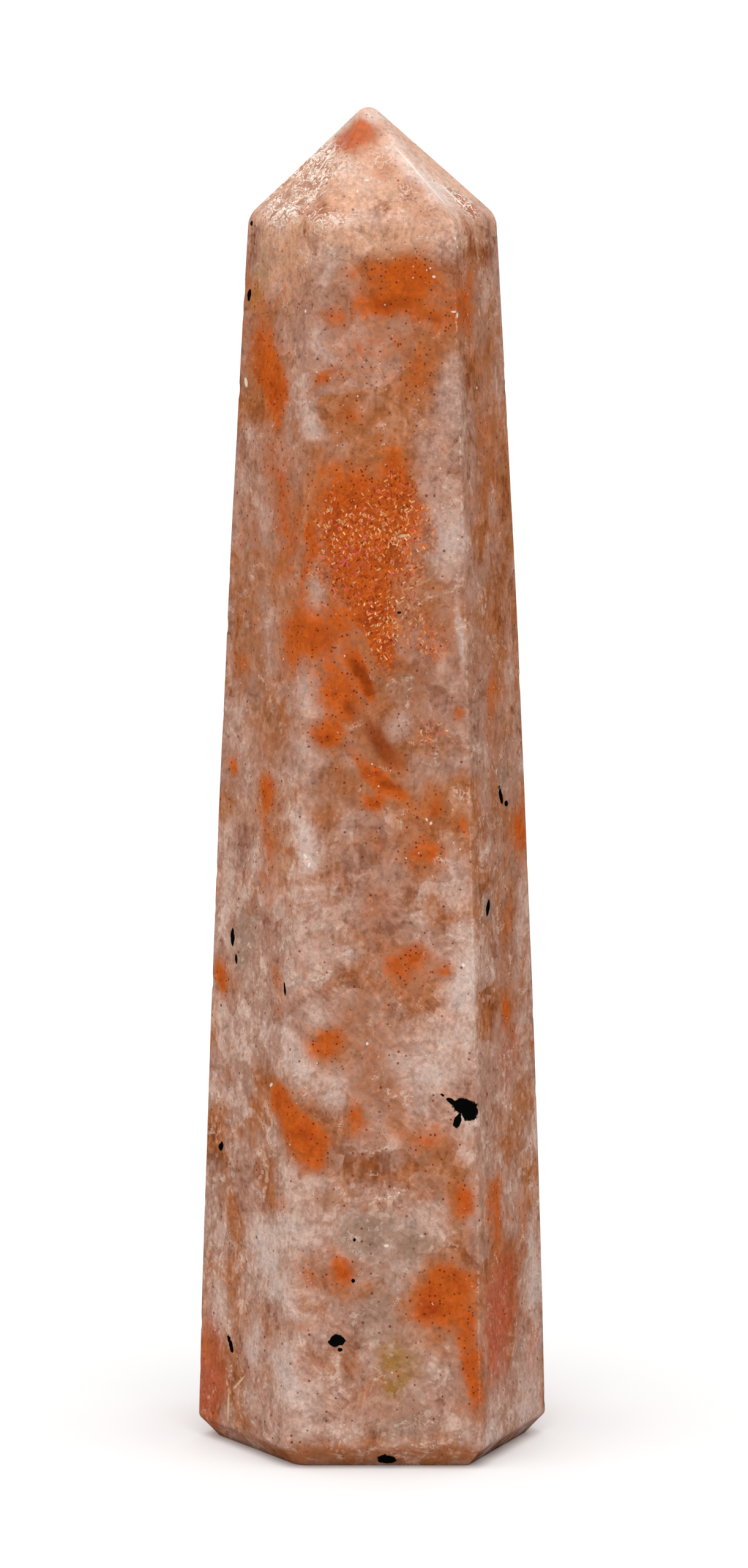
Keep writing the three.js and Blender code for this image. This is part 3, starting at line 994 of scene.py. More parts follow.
@dataclass
class Markings:
    """Places the markings in the stone and paints their fields on its mesh.

    Attributes:
        camera: The camera that the seen places belong to.
        seed: Draws the markings of the sides that the photograph does not show.
        depth: How far a seen marking reaches into the stone, as a share of its larger half size.
        border: Sets how full a marking still is at its border, where 0.69 is half.
        falloff: How fast it ends there.
        hidden_counts: How many lumps of each tint the hidden sides get.
        hidden_grains: How many black grains they get.
        hidden_azimuths: Where those sides start and end, in degrees.
        hidden_heights: The lowest and highest middle there, in millimetres.
        hidden_lean: How far the lumps lean there, as a spread in degrees.
        half_widths: Their smallest and largest half width, in millimetres.
        stretches: Their smallest and largest length, as a share of the width.
        hidden_depth: How far they reach into the stone, as a share of the half width.
        strengths: How full their colour is, at least and at most.
        glitter_chance: The share of the orange lumps that glitter.
        glitter_size: The glittering part, as a share of the lump.
        glitter_strengths: How densely it glitters, at least and at most.
        grain_half_widths: The grains' smallest and largest half width, in millimetres.
        grain_stretches: Their smallest and largest length, as a share of the width.
    """

    camera: StudioCamera
    seed: int = 11
    depth: float = 1.1
    border: float = 0.69
    falloff: float = 2.2
    hidden_counts: dict[Tint, int] = field(default_factory=lambda: {
        Tint.EMBER: 38, Tint.MILK: 34, Tint.SMOKE: 10, Tint.OCHRE: 5, Tint.BLUSH: 7, Tint.UMBER: 13,
        Tint.RUSSET: 9,
    })
    hidden_grains: int = 9
    hidden_azimuths: Range = (12, 168)
    hidden_heights: Range = (1, 99)
    hidden_lean: float = 24
    half_widths: Range = (0.6, 2.4)
    stretches: Range = (0.9, 2.6)
    hidden_depth: float = 1.5
    strengths: Range = (0.5, 1.0)
    glitter_chance: float = 0.12
    glitter_size: float = 0.8
    glitter_strengths: Range = (0.5, 0.9)
    grain_half_widths: Range = (0.1, 0.4)
    grain_stretches: Range = (0.8, 3.0)

    def lump_seen(self, stone: bpy.types.Object, mark: Mark) -> Lump | None:
        """Finds where a marking of the photograph lies on the stone.

        Args:
            stone: The finished stone.
            mark: The marking.

        Returns:
            The placed marking, or None if its middle misses the stone.
        """
        eye = Vector(self.camera.eye)
        hit, place, _, _ = stone.ray_cast(eye, self.camera.ray(mark.x, mark.y))
        if not hit:
            return None
        right, up, forward = self.camera.axes()
        pixel = (place - eye).dot(forward) / self.camera.focal_pixels()
        lean = math.radians(mark.lean)
        across = right * math.cos(lean) - up * math.sin(lean)
        along = right * math.sin(lean) + up * math.cos(lean)
        turn = Matrix((across, along, -forward)).transposed()
        half_wide = mark.wide / 2 * pixel
        half_tall = mark.tall / 2 * pixel
        reach = Vector((half_wide, half_tall, self.depth * max(half_wide, half_tall)))
        return Lump(mark.kind, place, turn, reach, mark.strength)

    def seen(self, stone: bpy.types.Object, kind: Kind) -> list[Lump]:
        """Places what the photograph shows of one kind."""
        lumps = [self.lump_seen(stone, Mark(kind, *row)) for row in SEEN[kind]]
        return [lump for lump in lumps if lump]

    def lumps_hidden(self, stone: bpy.types.Object) -> list[Lump]:
        """Draws markings of the same kinds for the three long faces at the back.

        Args:
            stone: The finished stone.

        Returns:
            The placed markings.
        """
        draw = random.Random(self.seed)
        lumps = []
        for tint, count in self.hidden_counts.items():
            for _ in range(count):
                seat = self.seat_hidden(stone, draw)
                if not seat:
                    continue
                place, turn = seat
                half_wide = draw.uniform(*self.half_widths) * MM
                half_tall = half_wide * draw.uniform(*self.stretches)
                reach = Vector((half_wide, half_tall, half_wide * self.hidden_depth))
                lumps.append(Lump(tint, place, turn, reach, draw.uniform(*self.strengths)))
                if tint is Tint.EMBER and draw.random() < self.glitter_chance:
                    strength = draw.uniform(*self.glitter_strengths)
                    lumps.append(Lump(Tint.GLITTER, place, turn, reach * self.glitter_size, strength))
        return lumps

    def seat_hidden(self, stone: bpy.types.Object, draw: random.Random) -> tuple[Vector, Matrix] | None:
        """Draws a place on the three long faces at the back.

        Args:
            stone: The finished stone.
            draw: The source of chance.

        Returns:
            The place and a turn whose second axis runs up the stone, or None if the place misses it.
        """
        azimuth = math.radians(draw.uniform(*self.hidden_azimuths))
        height = draw.uniform(*self.hidden_heights) * MM
        outward = Vector((math.cos(azimuth), math.sin(azimuth), 0))
        start = outward * 0.1 + Vector((0, 0, height))
        hit, place, normal, _ = stone.ray_cast(start, -outward)
        if not hit:
            return None
        along = Vector((0, 0, 1)) - normal * normal.z
        along.normalize()
        along = Matrix.Rotation(draw.gauss(0, math.radians(self.hidden_lean)), 3, normal) @ along
        return place, Matrix((along.cross(normal), along, normal)).transposed()

    def specks(self, stone: bpy.types.Object) -> dict[Speck, list[Lump]]:
        """Places the seen specks, and a few black grains at the back.

        Args:
            stone: The finished stone.

        Returns:
            The placed specks of each kind.
        """
        placed = {kind: self.seen(stone, kind) for kind in Speck}
        draw = random.Random(self.seed + 1)
        for _ in range(self.hidden_grains):
            seat = self.seat_hidden(stone, draw)
            if seat:
                half_wide = draw.uniform(*self.grain_half_widths) * MM
                reach = Vector((half_wide, half_wide * draw.uniform(*self.grain_stretches), half_wide))
                placed[Speck.GRAIN].append(Lump(Speck.GRAIN, *seat, reach, 1.0))
        return placed

    def paint(self, stone: bpy.types.Object) -> None:
        """Paints each tint's field on the stone's points, 1 inside a marking and 0 well outside.

        Args:
            stone: The finished stone.
        """
        mesh = stone.data
        flat = np.empty(len(mesh.vertices) * 3, np.float32)
        mesh.vertices.foreach_get("co", flat)
        points = flat.reshape(-1, 3).copy()
        mesh.attributes["stir"].data.foreach_get("vector", flat)
        points += flat.reshape(-1, 3)
        lumps = [lump for tint in Tint for lump in self.seen(stone, tint)]
        lumps += [*self.lumps_hidden(stone), *BROAD_LUMPS]
        missing = {tint: np.ones(len(points), np.float32) for tint in Tint}
        for lump in lumps:
            local = (points - np.array(lump.middle)) @ np.array(lump.turn) / np.array(lump.reach)
            reached = np.sqrt((local ** 2).sum(axis=1))
            missing[lump.kind] *= 1 - lump.strength * np.exp(-self.border * reached ** self.falloff)
        for tint, gap in missing.items():
            layer = mesh.attributes.new(tint.value, "FLOAT", "POINT")
            layer.data.foreach_set("value", (1 - gap).astype(np.float32))
        log.info("painted %d markings", len(lumps))


@dataclass(frozen=True)
class Stain:
    """How one tint shows on the stone.

    Attributes:
        tint: The tint.
        colour: The colour that it lays.
        starts: The painted field at which it starts to show.
        full_at: The field at which it is full.
        ragged: How ragged its border is.
        cover: How much of it shows where it is full.
    """

    tint: Tint
    colour: Colour
    starts: float
    full_at: float
    ragged: float
    cover: float = 1.0


@dataclass(frozen=True)
class Dots:
    """Scattered round dots: how far apart, the largest radius, and the share of places with one."""

    spacing: float
    radius: float
    chance: float


@dataclass(frozen=True)
class Platelets:
    """Platelets that lie one way: their turn in degrees, and the cell of each in millimetres."""

    turn: tuple[float, float, float]
    cell: tuple[float, float, float]


@dataclass(frozen=True)
class StoneGrain:
    """How large the patterns in the stone are, in metres, and how the strands run."""

    bend: float = 3.2 * MM
    bend_reach: float = 2.6 * MM
    slight_reach: float = 1.1 * MM
    crystal: float = 4.6 * MM
    shard: float = 1.3 * MM
    joint: float = 3.0 * MM
    sugar: float = 0.34 * MM
    cloud: float = 9 * MM
    patch: float = 2.2 * MM
    drift: float = 4.4 * MM
    mottle: float = 0.8 * MM
    grain: float = 0.3 * MM
    pit: float = 0.6 * MM
    bunch: float = 1.1 * MM
    steep: Platelets = Platelets((0, 7, 0), (0.36, 0.36, 2.6))
    slant: Platelets = Platelets((0, -42, 10), (0.32, 0.36, 2.2))
    slant_share: float = 0.28


@dataclass(frozen=True)
class SunstoneFinish:
    """The polished stone's colours, as they look under the studio's light, and its gloss.

    A range gives where something starts and is full, and how much of it shows at each end.
    """

    grain: StoneGrain = StoneGrain()
    warm_ground: tuple[Colour, ...] = (tone(144, 80, 45), tone(171, 107, 70), tone(193, 139, 109))
    warm_stops: tuple[float, ...] = (-0.3, -0.02, 0.26)
    cool_ground: tuple[Colour, ...] = (tone(150, 101, 79), tone(178, 134, 114), tone(205, 172, 157))
    cool_stops: tuple[float, ...] = (-0.3, -0.02, 0.3)
    # The pale stain and the tip's milk colours below are partly painted light: they make the point paler
    # where light from above falls
    pale: Stain = Stain(Tint.PALE, tone(220, 169, 139), 0.3, 0.8, 1.2, 0.85)
    # The brown stain also lays painted shade: on the bevel, on the right face and in the hollows of the pits
    umber: Stain = Stain(Tint.UMBER, tone(162, 98, 60), 0.1, 0.7, 1.2, 0.8)
    smoke: Stain = Stain(Tint.SMOKE, tone(158, 126, 108), 0.2, 0.9, 1.2, 0.9)
    # The milk stain also lays painted light: glare on the front-left edge and pale rims on the right side
    milk: Stain = Stain(Tint.MILK, tone(205, 172, 157), 0.05, 0.8, 0.9, 0.65)
    milk_core: Stain = Stain(Tint.MILK, tone(205, 184, 174), 0.35, 1.15, 1.0)
    cool_range: Range = (-0.16, 0.1)
    tip_milk: Colour = tone(222, 186, 168)
    tip_core: Colour = tone(236, 214, 204)
    ochre: Stain = Stain(Tint.OCHRE, tone(160, 116, 50), 0.3, 1.0, 1.1, 0.75)
    blush: Stain = Stain(Tint.BLUSH, tone(184, 92, 62), 0.2, 0.9, 0.8, 0.85)
    russet: Stain = Stain(Tint.RUSSET, tone(142, 62, 28), 0.15, 0.85, 0.9, 0.8)
    haze: Colour = tone(180, 104, 60)
    haze_range: Range = (0.08, 0.6, 0.0, 0.68)
    ember: Colour = tone(194, 92, 36)
    ember_range: Range = (0.42, 0.8, 0.0, 0.95)
    ember_core: Colour = tone(160, 60, 12)
    core_range: Range = (0.68, 1.42)
    joint_range: Range = (0.024, 0.004)
    joint_cover: Range = (0.0, 0.25, 0.0, 0.4)
    # Painted glints on crystal facets
    facet_range: Range = (0.86, 0.96, 0.0, 0.28)
    facet_ground: Range = (0.3, 0.6)
    rust: Colour = tone(118, 42, 14)
    rust_crowding: Range = (0.0, 0.6, 0.1, 0.85)
    large_rust_cover: float = 0.8
    small_rust: Dots = Dots(0.36 * MM, 0.11 * MM, 0.8)
    large_rust: Dots = Dots(0.66 * MM, 0.13 * MM, 0.5)
    # Painted highlights: small bright sparkle dots
    bright_dots: Dots = Dots(0.5 * MM, 0.075 * MM, 0.45)
    bright_ground: Range = (0.45, 0.58)
    bright_cover: float = 0.7
    # Pale joints, and the colour of painted highlights on facets, curls, milky borders and worn edges
    hairline: Colour = tone(240, 214, 196)
    soot: Colour = tone(22, 26, 26)
    soot_cover: float = 1.0
    # The colour of painted highlights: glint specks, sparkle dots and the rims of the open pits
    glint: Colour = tone(252, 240, 228)
    glint_cover: float = 0.65
    seam: Colour = tone(224, 192, 156)
    seam_cover: float = 0.75
    speck_range: Range = (1.1, 0.9)
    speck_ragged: float = 1.8
    # Painted shade in the hollows of the open pits, and painted highlights on their rims, on curls and on
    # milky borders
    pit_level: float = 0.52
    pit_range: Range = (0.1, 0.5)
    pit_ground: Range = (0.35, 0.5)
    pit_hollow: Range = (0.5, 0.4, 0.0, 0.6)
    lip_range: Range = (0.06, 0.02)
    curl_range: Range = (0.1, 0.02)
    curl_cover: Range = (0.48, 0.62, 0.0, 0.45)
    milk_lip_cover: Range = (0.8, 1.3, 0.0, 0.3)
    # Pale wear along the edges and rims, partly painted highlight where the edges catch the light
    rub_range: Range = (0.75, 1.15, 0.0, 0.5)
    rub_ground: Range = (0.42, 0.6, 0.15, 1.0)
    glitter_range: Range = (0.15, 0.4)
    glitter_ragged: float = 0.5
    glitter_shade: Range = (0.58, 0.42, 0.0, 0.3)
    glitter_bunching: float = 0.55
    platelets: tuple[Platelets, ...] = (
        Platelets((0, 62, 0), (0.19, 0.34, 0.48)),
        Platelets((0, -36, 0), (0.17, 0.32, 0.42)),
        Platelets((0, 14, 0), (0.16, 0.32, 0.38)),
    )
    platelet_fill: float = 0.36
    platelet_scatter: float = 0.8
    platelet_range: Range = (0.86, 0.96)
    fleck_colours: tuple[Colour, ...] = (tone(138, 46, 12), tone(226, 110, 42), tone(252, 196, 140))
    fleck_stops: tuple[float, ...] = (-0.1, 0.55, 1.05)
    fleck_violet: Colour = tone(208, 92, 86)
    violet_range: Range = (0.94, 0.97)
    roughness: float = 0.14
    refraction: float = 1.54
    gloss: float = 0.22
    relief_strength: float = 0.6
    relief_depth: float = 0.12 * MM
    glow_share: float = 0.15
    glow_colours: tuple[float, float, float] = (1.0, 0.5, 0.3)
    glow_depth: float = 0.7 * MM
    fleck_metal: float = 0.15


class SunstoneRecipe:
    """Builds the polished sunstone's material, layer on layer.

    Attributes:
        finish: The colours, the patterns' sizes and the gloss.
        bench: The material's tree.
        place: The place in the stone.
        fields: Each tint's painted field.
    """

    def __init__(self, finish: SunstoneFinish) -> None:
        """Starts the material and its shared patterns.

        Args:
            finish: The colours, the patterns' sizes and the gloss.
        """
        self.finish = finish
        self.made = bpy.data.materials.new("polished_sunstone")
        self.made.use_nodes = True
        self.made.node_tree.nodes.clear()
        self.bench = NodeBench(self.made.node_tree)
        self.place = self.bench.node("ShaderNodeTexCoord").outputs["Object"]
        self.fields = {tint: self.painted(tint.value) for tint in Tint}
        self.edge = self.painted("edge")
        self.draw_patterns()

    def painted(self, name: str) -> Socket:
        """Reads a field that is kept on the mesh."""
        return self.bench.node("ShaderNodeAttribute", attribute_name=name).outputs["Fac"]

    def centred(self, pattern: Any, weight: float) -> Socket:
        """Weighs a pattern that runs from 0 to 1 so that its mean is 0."""
        return self.bench.times(self.bench.less(pattern, 0.5), weight)

    def blended(self, *weighed: tuple[Any, float]) -> Socket:
        """Adds up several patterns, each with its weight and a mean of 0."""
        return self.bench.total([self.centred(pattern, weight) for pattern, weight in weighed])

    def turned(self, place: Any, run: Platelets) -> Socket:
        """Turns the place about the stone's middle and counts it in cells, 1 to a cell."""
        inputs = {"Vector": place, "Rotation": [math.radians(angle) for angle in run.turn],
                  "Scale": [side * MM for side in run.cell]}
        return self.bench.node("ShaderNodeMapping", inputs, vector_type="TEXTURE").outputs[0]

    def draw_patterns(self) -> None:
        """Draws the patterns that several layers share, from whole crystals down to fine grain."""
        bench = self.bench
        size = self.finish.grain
        inputs = {"Vector": self.place, "Scale": 1 / size.bend, "Detail": 2.0}
        bent = bench.arrow(bench.draws(bench.node("ShaderNodeTexNoise", inputs).outputs["Color"]))
        stirred = bench.vector("ADD", self.place, bench.vector("SCALE", bent, size.bend_reach))
        eased = bench.vector("ADD", self.place, bench.vector("SCALE", bent, size.slight_reach))
        self.crystal = bench.draws(bench.cells(stirred, size.crystal).outputs["Color"])
        self.shard = bench.draws(bench.cells(stirred, size.shard).outputs["Color"])
        joint = bench.cells(stirred, size.joint, feature="DISTANCE_TO_EDGE").outputs["Distance"]
        self.joint = bench.span(joint, *self.finish.joint_range)
        self.beside_joint = bench.span(joint, *self.finish.curl_range)
        self.sugar = bench.draws(bench.cells(eased, size.sugar).outputs["Color"])
        self.cloud = bench.noise(self.place, size.cloud, detail=3.0, roughness=0.55, distortion=0.4)
        self.patchy = bench.noise(eased, size.patch, detail=5.0, roughness=0.68)
        self.drift = bench.noise(bench.vector("ADD", eased, FAR_OFF), size.drift)
        self.mottle = bench.noise(eased, size.mottle, roughness=0.6)
        self.fine = bench.noise(self.place, size.grain, roughness=0.75)
        steep = self.turned(eased, size.steep)
        slant = self.turned(eased, size.slant)
        slanted = bench.math("GREATER_THAN", self.crystal[0], 1 - size.slant_share)
        self.strand = bench.noise(bench.between(slanted, steep, slant), 1.0, detail=3.0, roughness=0.65)
        self.ragged = self.blended((self.patchy, 1.0), (self.fine, 0.25), (self.strand, 0.25),
                                   (self.sugar[0], 0.06), (self.shard[0], 0.12), (self.crystal[2], 0.14))

    def share(self, stain: Stain) -> Socket:
        """Gives how much of a stain shows at a point, with a ragged border."""
        shaken = self.bench.plus(self.fields[stain.tint], self.bench.times(self.ragged, stain.ragged))
        return self.bench.span(shaken, stain.starts, stain.full_at, 0.0, stain.cover)

    def lay(self, share: Any, below: Any, above: Any) -> Socket:
        """Lays one colour over another, as far as the share says."""
        mixed = self.bench.node("ShaderNodeMix", {0: share, 6: below, 7: above}, data_type="RGBA")
        return mixed.outputs[2]

    def lay_stains(self, colour: Any, *stains: Stain) -> Socket:
        """Lays stains over a colour, one after another.

        Args:
            colour: The colour under them.
            *stains: The stains, the lowest first.

        Returns:
            The colour's socket.
        """
        for stain in stains:
            colour = self.lay(self.share(stain), colour, stain.colour)
        return colour

    def dots(self, kind: Dots) -> Socket:
        """Scatters small round dots, each of its own size.

        Args:
            kind: The dots' spacing, size and share.

        Returns:
            The dots' mask.
        """
        bench = self.bench
        cells = bench.cells(self.place, kind.spacing)
        draw = bench.draws(cells.outputs["Color"])[0]
        largest = kind.radius / kind.spacing
        bar = 1 - kind.chance
        present = bench.math("GREATER_THAN", draw, bar)
        limit = bench.times(present, bench.span(draw, bar, 1.0, 0.45 * largest, largest))
        inner = bench.times(limit, 0.6)
        return bench.span(cells.outputs["Distance"], limit, inner)

    def ramp(self, value: Any, stops: Sequence[float], colours: Sequence[Colour]) -> Socket:
        """Blends through three colours, each full at its stop."""
        lower = self.lay(self.bench.span(value, stops[0], stops[1]), colours[0], colours[1])
        return self.lay(self.bench.span(value, stops[1], stops[2]), lower, colours[2])

    def ground(self) -> Socket:
        """Lays the body colour: crystals of warm tan and cooler, rosy feldspar, dark to pale.

        Returns:
            The colour's socket.
        """
        finish = self.finish
        paleness = self.blended((self.patchy, 0.7), (self.cloud, 0.65), (self.mottle, 0.5),
                                (self.strand, 0.2), (self.crystal[1], 0.2), (self.shard[1], 0.2))
        warm = self.ramp(paleness, finish.warm_stops, finish.warm_ground)
        cool = self.ramp(paleness, finish.cool_stops, finish.cool_ground)
        coolness = self.blended((self.drift, 1.0), (self.cloud, 0.4), (self.crystal[0], 0.14))
        return self.lay(self.bench.span(coolness, *finish.cool_range), warm, cool)

    def stained(self, colour: Any) -> Socket:
        """Lays the stains, the milky patches with their clearer cores, and the orange.

        Args:
            colour: The body colour.

        Returns:
            The colour's socket.
        """
        bench = self.bench
        finish = self.finish
        colour = self.lay_stains(colour, finish.pale, finish.umber, finish.smoke)
        milky = self.share(finish.milk)
        # Painted light: milk is laid paler on the point, where light from above falls
        at_tip = self.fields[Tint.PALE]
        colour = self.lay(milky, colour, self.lay(at_tip, finish.milk.colour, finish.tip_milk))
        facet = self.blended((self.crystal[1], 0.35), (self.shard[0], 0.5))
        clear = bench.math("ADD", self.share(finish.milk_core), facet, clamp=True)
        clearest = self.lay(at_tip, finish.milk_core.colour, finish.tip_core)
        colour = self.lay(bench.times(clear, milky), colour, clearest)
        colour = self.lay_stains(colour, finish.ochre, finish.blush)
        fibrous = self.blended((self.patchy, 0.8), (self.fine, 0.25), (self.strand, 0.5),
                               (self.sugar[0], 0.06))
        glow = bench.plus(self.fields[Tint.EMBER], fibrous)
        colour = self.lay(bench.span(glow, *finish.haze_range), colour, finish.haze)
        depth = bench.total([glow, self.centred(self.patchy, 1.2), self.centred(self.cloud, 0.6)])
        orange = self.lay(bench.span(depth, *finish.core_range), finish.ember, finish.ember_core)
        colour = self.lay(bench.span(glow, *finish.ember_range), colour, orange)
        return self.lay_stains(colour, finish.russet)

    def textured(self, colour: Any) -> Socket:
        """Lays the fine mottling, the pale joints and the rusty dots, with painted highlights: glints on
        crystal facets and small bright sparkle dots.

        Args:
            colour: The stained colour.

        Returns:
            The colour's socket.
        """
        bench = self.bench
        finish = self.finish
        tones = self.blended((self.fine, 0.75), (self.mottle, 0.35), (self.strand, 0.5),
                             (self.sugar[2], 0.18), (self.shard[2], 0.12))
        value = bench.plus(tones, 1.0)
        colour = bench.node("ShaderNodeHueSaturation", {"Value": value, "Color": colour}).outputs[0]
        ember = self.fields[Tint.EMBER]
        # Painted glints on crystal facets, beside the pale joints
        clear = bench.span(bench.less(self.patchy, ember), *finish.facet_ground)
        facets = bench.times(bench.span(self.sugar[0], *finish.facet_range), clear)
        apart = bench.less(self.ragged, bench.times(ember, 0.3))
        joints = bench.times(self.joint, bench.span(apart, *finish.joint_cover))
        colour = self.lay(bench.math("MAXIMUM", facets, joints), colour, finish.hairline)
        small = self.dots(finish.small_rust)
        crowding = bench.plus(ember, self.centred(self.patchy, 1.6))
        fine = bench.times(small, bench.span(crowding, *finish.rust_crowding))
        large = bench.times(self.dots(finish.large_rust), finish.large_rust_cover)
        colour = self.lay(bench.math("MAXIMUM", fine, large), colour, finish.rust)
        # Painted highlights: small bright sparkle dots
        bright = bench.times(self.dots(finish.bright_dots), bench.span(self.patchy, *finish.bright_ground))
        return self.lay(bench.times(bright, finish.bright_cover), colour, finish.glint)

    def flecks(self, kind: Platelets) -> tuple[Socket, tuple[Socket, ...]]:
        """Scatters small straight-sided platelets that all lie one way.

        Args:
            kind: The platelets' turn and cell.

        Returns:
            The platelets' mask, and three numbers drawn at random for each.
        """
        fill = self.finish.platelet_fill
        cells = self.bench.cells(self.turned(self.place, kind), 1.0, distance="CHEBYCHEV")
        self.bench.feed(cells.inputs["Randomness"], self.finish.platelet_scatter)
        mask = self.bench.span(cells.outputs["Distance"], fill, fill * 0.75)
        return mask, self.bench.draws(cells.outputs["Color"])

    def glittered(self, colour: Any) -> Socket:
        """Lays glittering platelets in three directions.

        Args:
            colour: The colour under them.

        Returns:
            The colour's socket. The platelets' mask and tilt are kept for the gloss.
        """
        bench = self.bench
        finish = self.finish
        glitter = bench.plus(self.fields[Tint.GLITTER], bench.times(self.ragged, finish.glitter_ragged))
        inside = bench.span(glitter, *finish.glitter_range)
        bunching = bench.noise(self.place, finish.grain.bunch, detail=1.0)
        bunched = bench.plus(glitter, self.centred(bunching, 2.2))
        dim = bench.times(inside, bench.span(self.fine, *finish.glitter_shade))
        colour = self.lay(dim, colour, finish.fleck_colours[0])
        masks = []
        tilts = []
        for kind in finish.platelets:
            shape, draw = self.flecks(kind)
            likely = bench.plus(draw[0], bench.times(bunched, finish.glitter_bunching))
            present = bench.span(likely, *finish.platelet_range)
            shown = bench.times(bench.times(shape, present), inside)
            tinted = self.ramp(draw[1], finish.fleck_stops, finish.fleck_colours)
            rosy = bench.plus(draw[2], bench.times(self.fields[Tint.BLUSH], 0.55))
            tinted = self.lay(bench.span(rosy, *finish.violet_range), tinted, finish.fleck_violet)
            colour = self.lay(shown, colour, tinted)
            masks.append(shown)
            tilts.append(bench.vector("SCALE", bench.arrow(draw), shown))
        self.flashes = bench.total(masks)
        self.tilt = bench.vector("ADD", bench.vector("ADD", tilts[0], tilts[1]), tilts[2])
        return colour

    def worn(self, colour: Any) -> Socket:
        """Paints shade in the hollows of the open pits and highlights on their rims, on curls beside the
        joints and on milky borders, and pales the worn edges, partly as painted highlight.

        Args:
            colour: The colour under them.

        Returns:
            The colour's socket. The pits and the worn, partly highlighted edges are kept for the gloss.
        """
        bench = self.bench
        finish = self.finish
        self.pit = bench.noise(self.place, finish.grain.pit, detail=1.5, roughness=0.6, distortion=1.3)
        open_grain = bench.span(self.fields[Tint.PITTED], *finish.pit_range)
        from_lip = bench.math("ABSOLUTE", bench.less(self.pit, finish.pit_level))
        lip = bench.span(from_lip, *finish.lip_range)
        self.open_grain = bench.times(open_grain, bench.span(self.patchy, *finish.pit_ground))
        milky = bench.plus(self.fields[Tint.MILK], self.centred(self.patchy, 2.4))
        # Painted highlights: bright curls beside the joints, more on the point, and along milky borders
        bare = bench.less(self.patchy, bench.times(self.fields[Tint.EMBER], 0.14))
        bare = bench.plus(bare, bench.times(self.fields[Tint.PALE], 0.07))
        curled = bench.times(self.beside_joint, bench.span(bare, *finish.curl_cover))
        bordered = bench.span(milky, *finish.milk_lip_cover)
        lip_highlights = bench.times(lip, bench.math("MAXIMUM", curled, bordered))
        # Painted shade in the hollows of the open pits, and painted highlights on their rims
        hollow = bench.times(bench.span(self.pit, *finish.pit_hollow), self.open_grain)
        colour = self.lay(hollow, colour, finish.umber.colour)
        colour = self.lay(bench.times(lip, self.open_grain), colour, finish.glint)
        # Pale, rougher wear along the edges and rims, partly painted highlight where the edges catch the
        # light
        paled_edges = bench.span(bench.plus(self.edge, self.centred(self.fine, 1.4)), *finish.rub_range)
        self.scuffs = bench.times(paled_edges, bench.span(self.patchy, *finish.rub_ground))
        return self.lay(bench.math("MAXIMUM", lip_highlights, self.scuffs), colour, finish.hairline)

    def specked(self, colour: Any, specks: dict[Speck, list[Lump]]) -> Socket:
        """Lays the specks that are placed one by one, with ragged borders.

        Args:
            colour: The colour under them.
            specks: The specks of each kind, placed in the stone.

        Returns:
            The colour's socket.
        """
        bench = self.bench
        finish = self.finish
        looks = {
            Speck.GRAIN: (finish.soot, finish.soot_cover),
            Speck.GLINT: (finish.glint, finish.glint_cover),
            Speck.SEAM: (finish.seam, finish.seam_cover),
        }
        for kind, lumps in specks.items():
            nearest = None
            for lump in lumps:
                inputs = {"Vector": self.place, "Center": lump.middle, "Rotation": lump.turn.to_euler()}
                level = bench.node("ShaderNodeVectorRotate", inputs, rotation_type="EULER_XYZ", invert=True)
                local = bench.vector("SUBTRACT", level.outputs[0], lump.middle)
                reached = bench.vector("LENGTH", bench.vector("DIVIDE", local, lump.reach))
                nearest = reached if nearest is None else bench.math("MINIMUM", nearest, reached)
            shaken = bench.plus(nearest, bench.times(self.ragged, finish.speck_ragged))
            above, cover = looks[kind]
            colour = self.lay(bench.span(shaken, *finish.speck_range, 0.0, cover), colour, above)
        return colour

    def relief(self) -> Socket:
        """Gives the polish its faint grain, the open pits their depth and the platelets their tilt.

        Returns:
            The normal's socket.
        """
        bench = self.bench
        fine = bench.times(self.fine, 0.12)
        sunk = bench.times(self.pit, self.open_grain)
        height = bench.plus(fine, sunk)
        facing = bench.node("ShaderNodeNewGeometry").outputs["Normal"]
        tilted = bench.vector("NORMALIZE", bench.vector("ADD", facing, self.tilt))
        inputs = {"Strength": self.finish.relief_strength, "Distance": self.finish.relief_depth,
                  "Height": height, "Normal": tilted}
        return bench.node("ShaderNodeBump", inputs).outputs[0]

    def material(self, specks: dict[Speck, list[Lump]]) -> bpy.types.Material:
        """Lays every layer and joins them to the shader.

        Args:
            specks: The specks of each kind, placed in the stone.

        Returns:
            The material.
        """
        bench = self.bench
        finish = self.finish
        colour = self.textured(self.stained(self.ground()))
        colour = self.specked(self.worn(self.glittered(colour)), specks)
        parts = ((self.ragged, 0.08), (self.open_grain, 0.2), (self.scuffs, 0.3), (self.flashes, 0.1))
        rough = bench.total([bench.times(part, weight) for part, weight in parts])
        shader = bench.node("ShaderNodeBsdfPrincipled", {
            "Base Color": colour,
            "Metallic": bench.math("MULTIPLY", self.flashes, finish.fleck_metal, clamp=True),
            "Roughness": bench.math("ADD", rough, finish.roughness, clamp=True),
            "IOR": finish.refraction,
            "Normal": self.relief(),
            "Subsurface Weight": finish.glow_share,
            "Subsurface Radius": finish.glow_colours,
            "Subsurface Scale": finish.glow_depth,
            "Specular IOR Level": finish.gloss,
        })
        bench.feed(bench.node("ShaderNodeOutputMaterial").inputs["Surface"], shader.outputs[0])
        return self.made


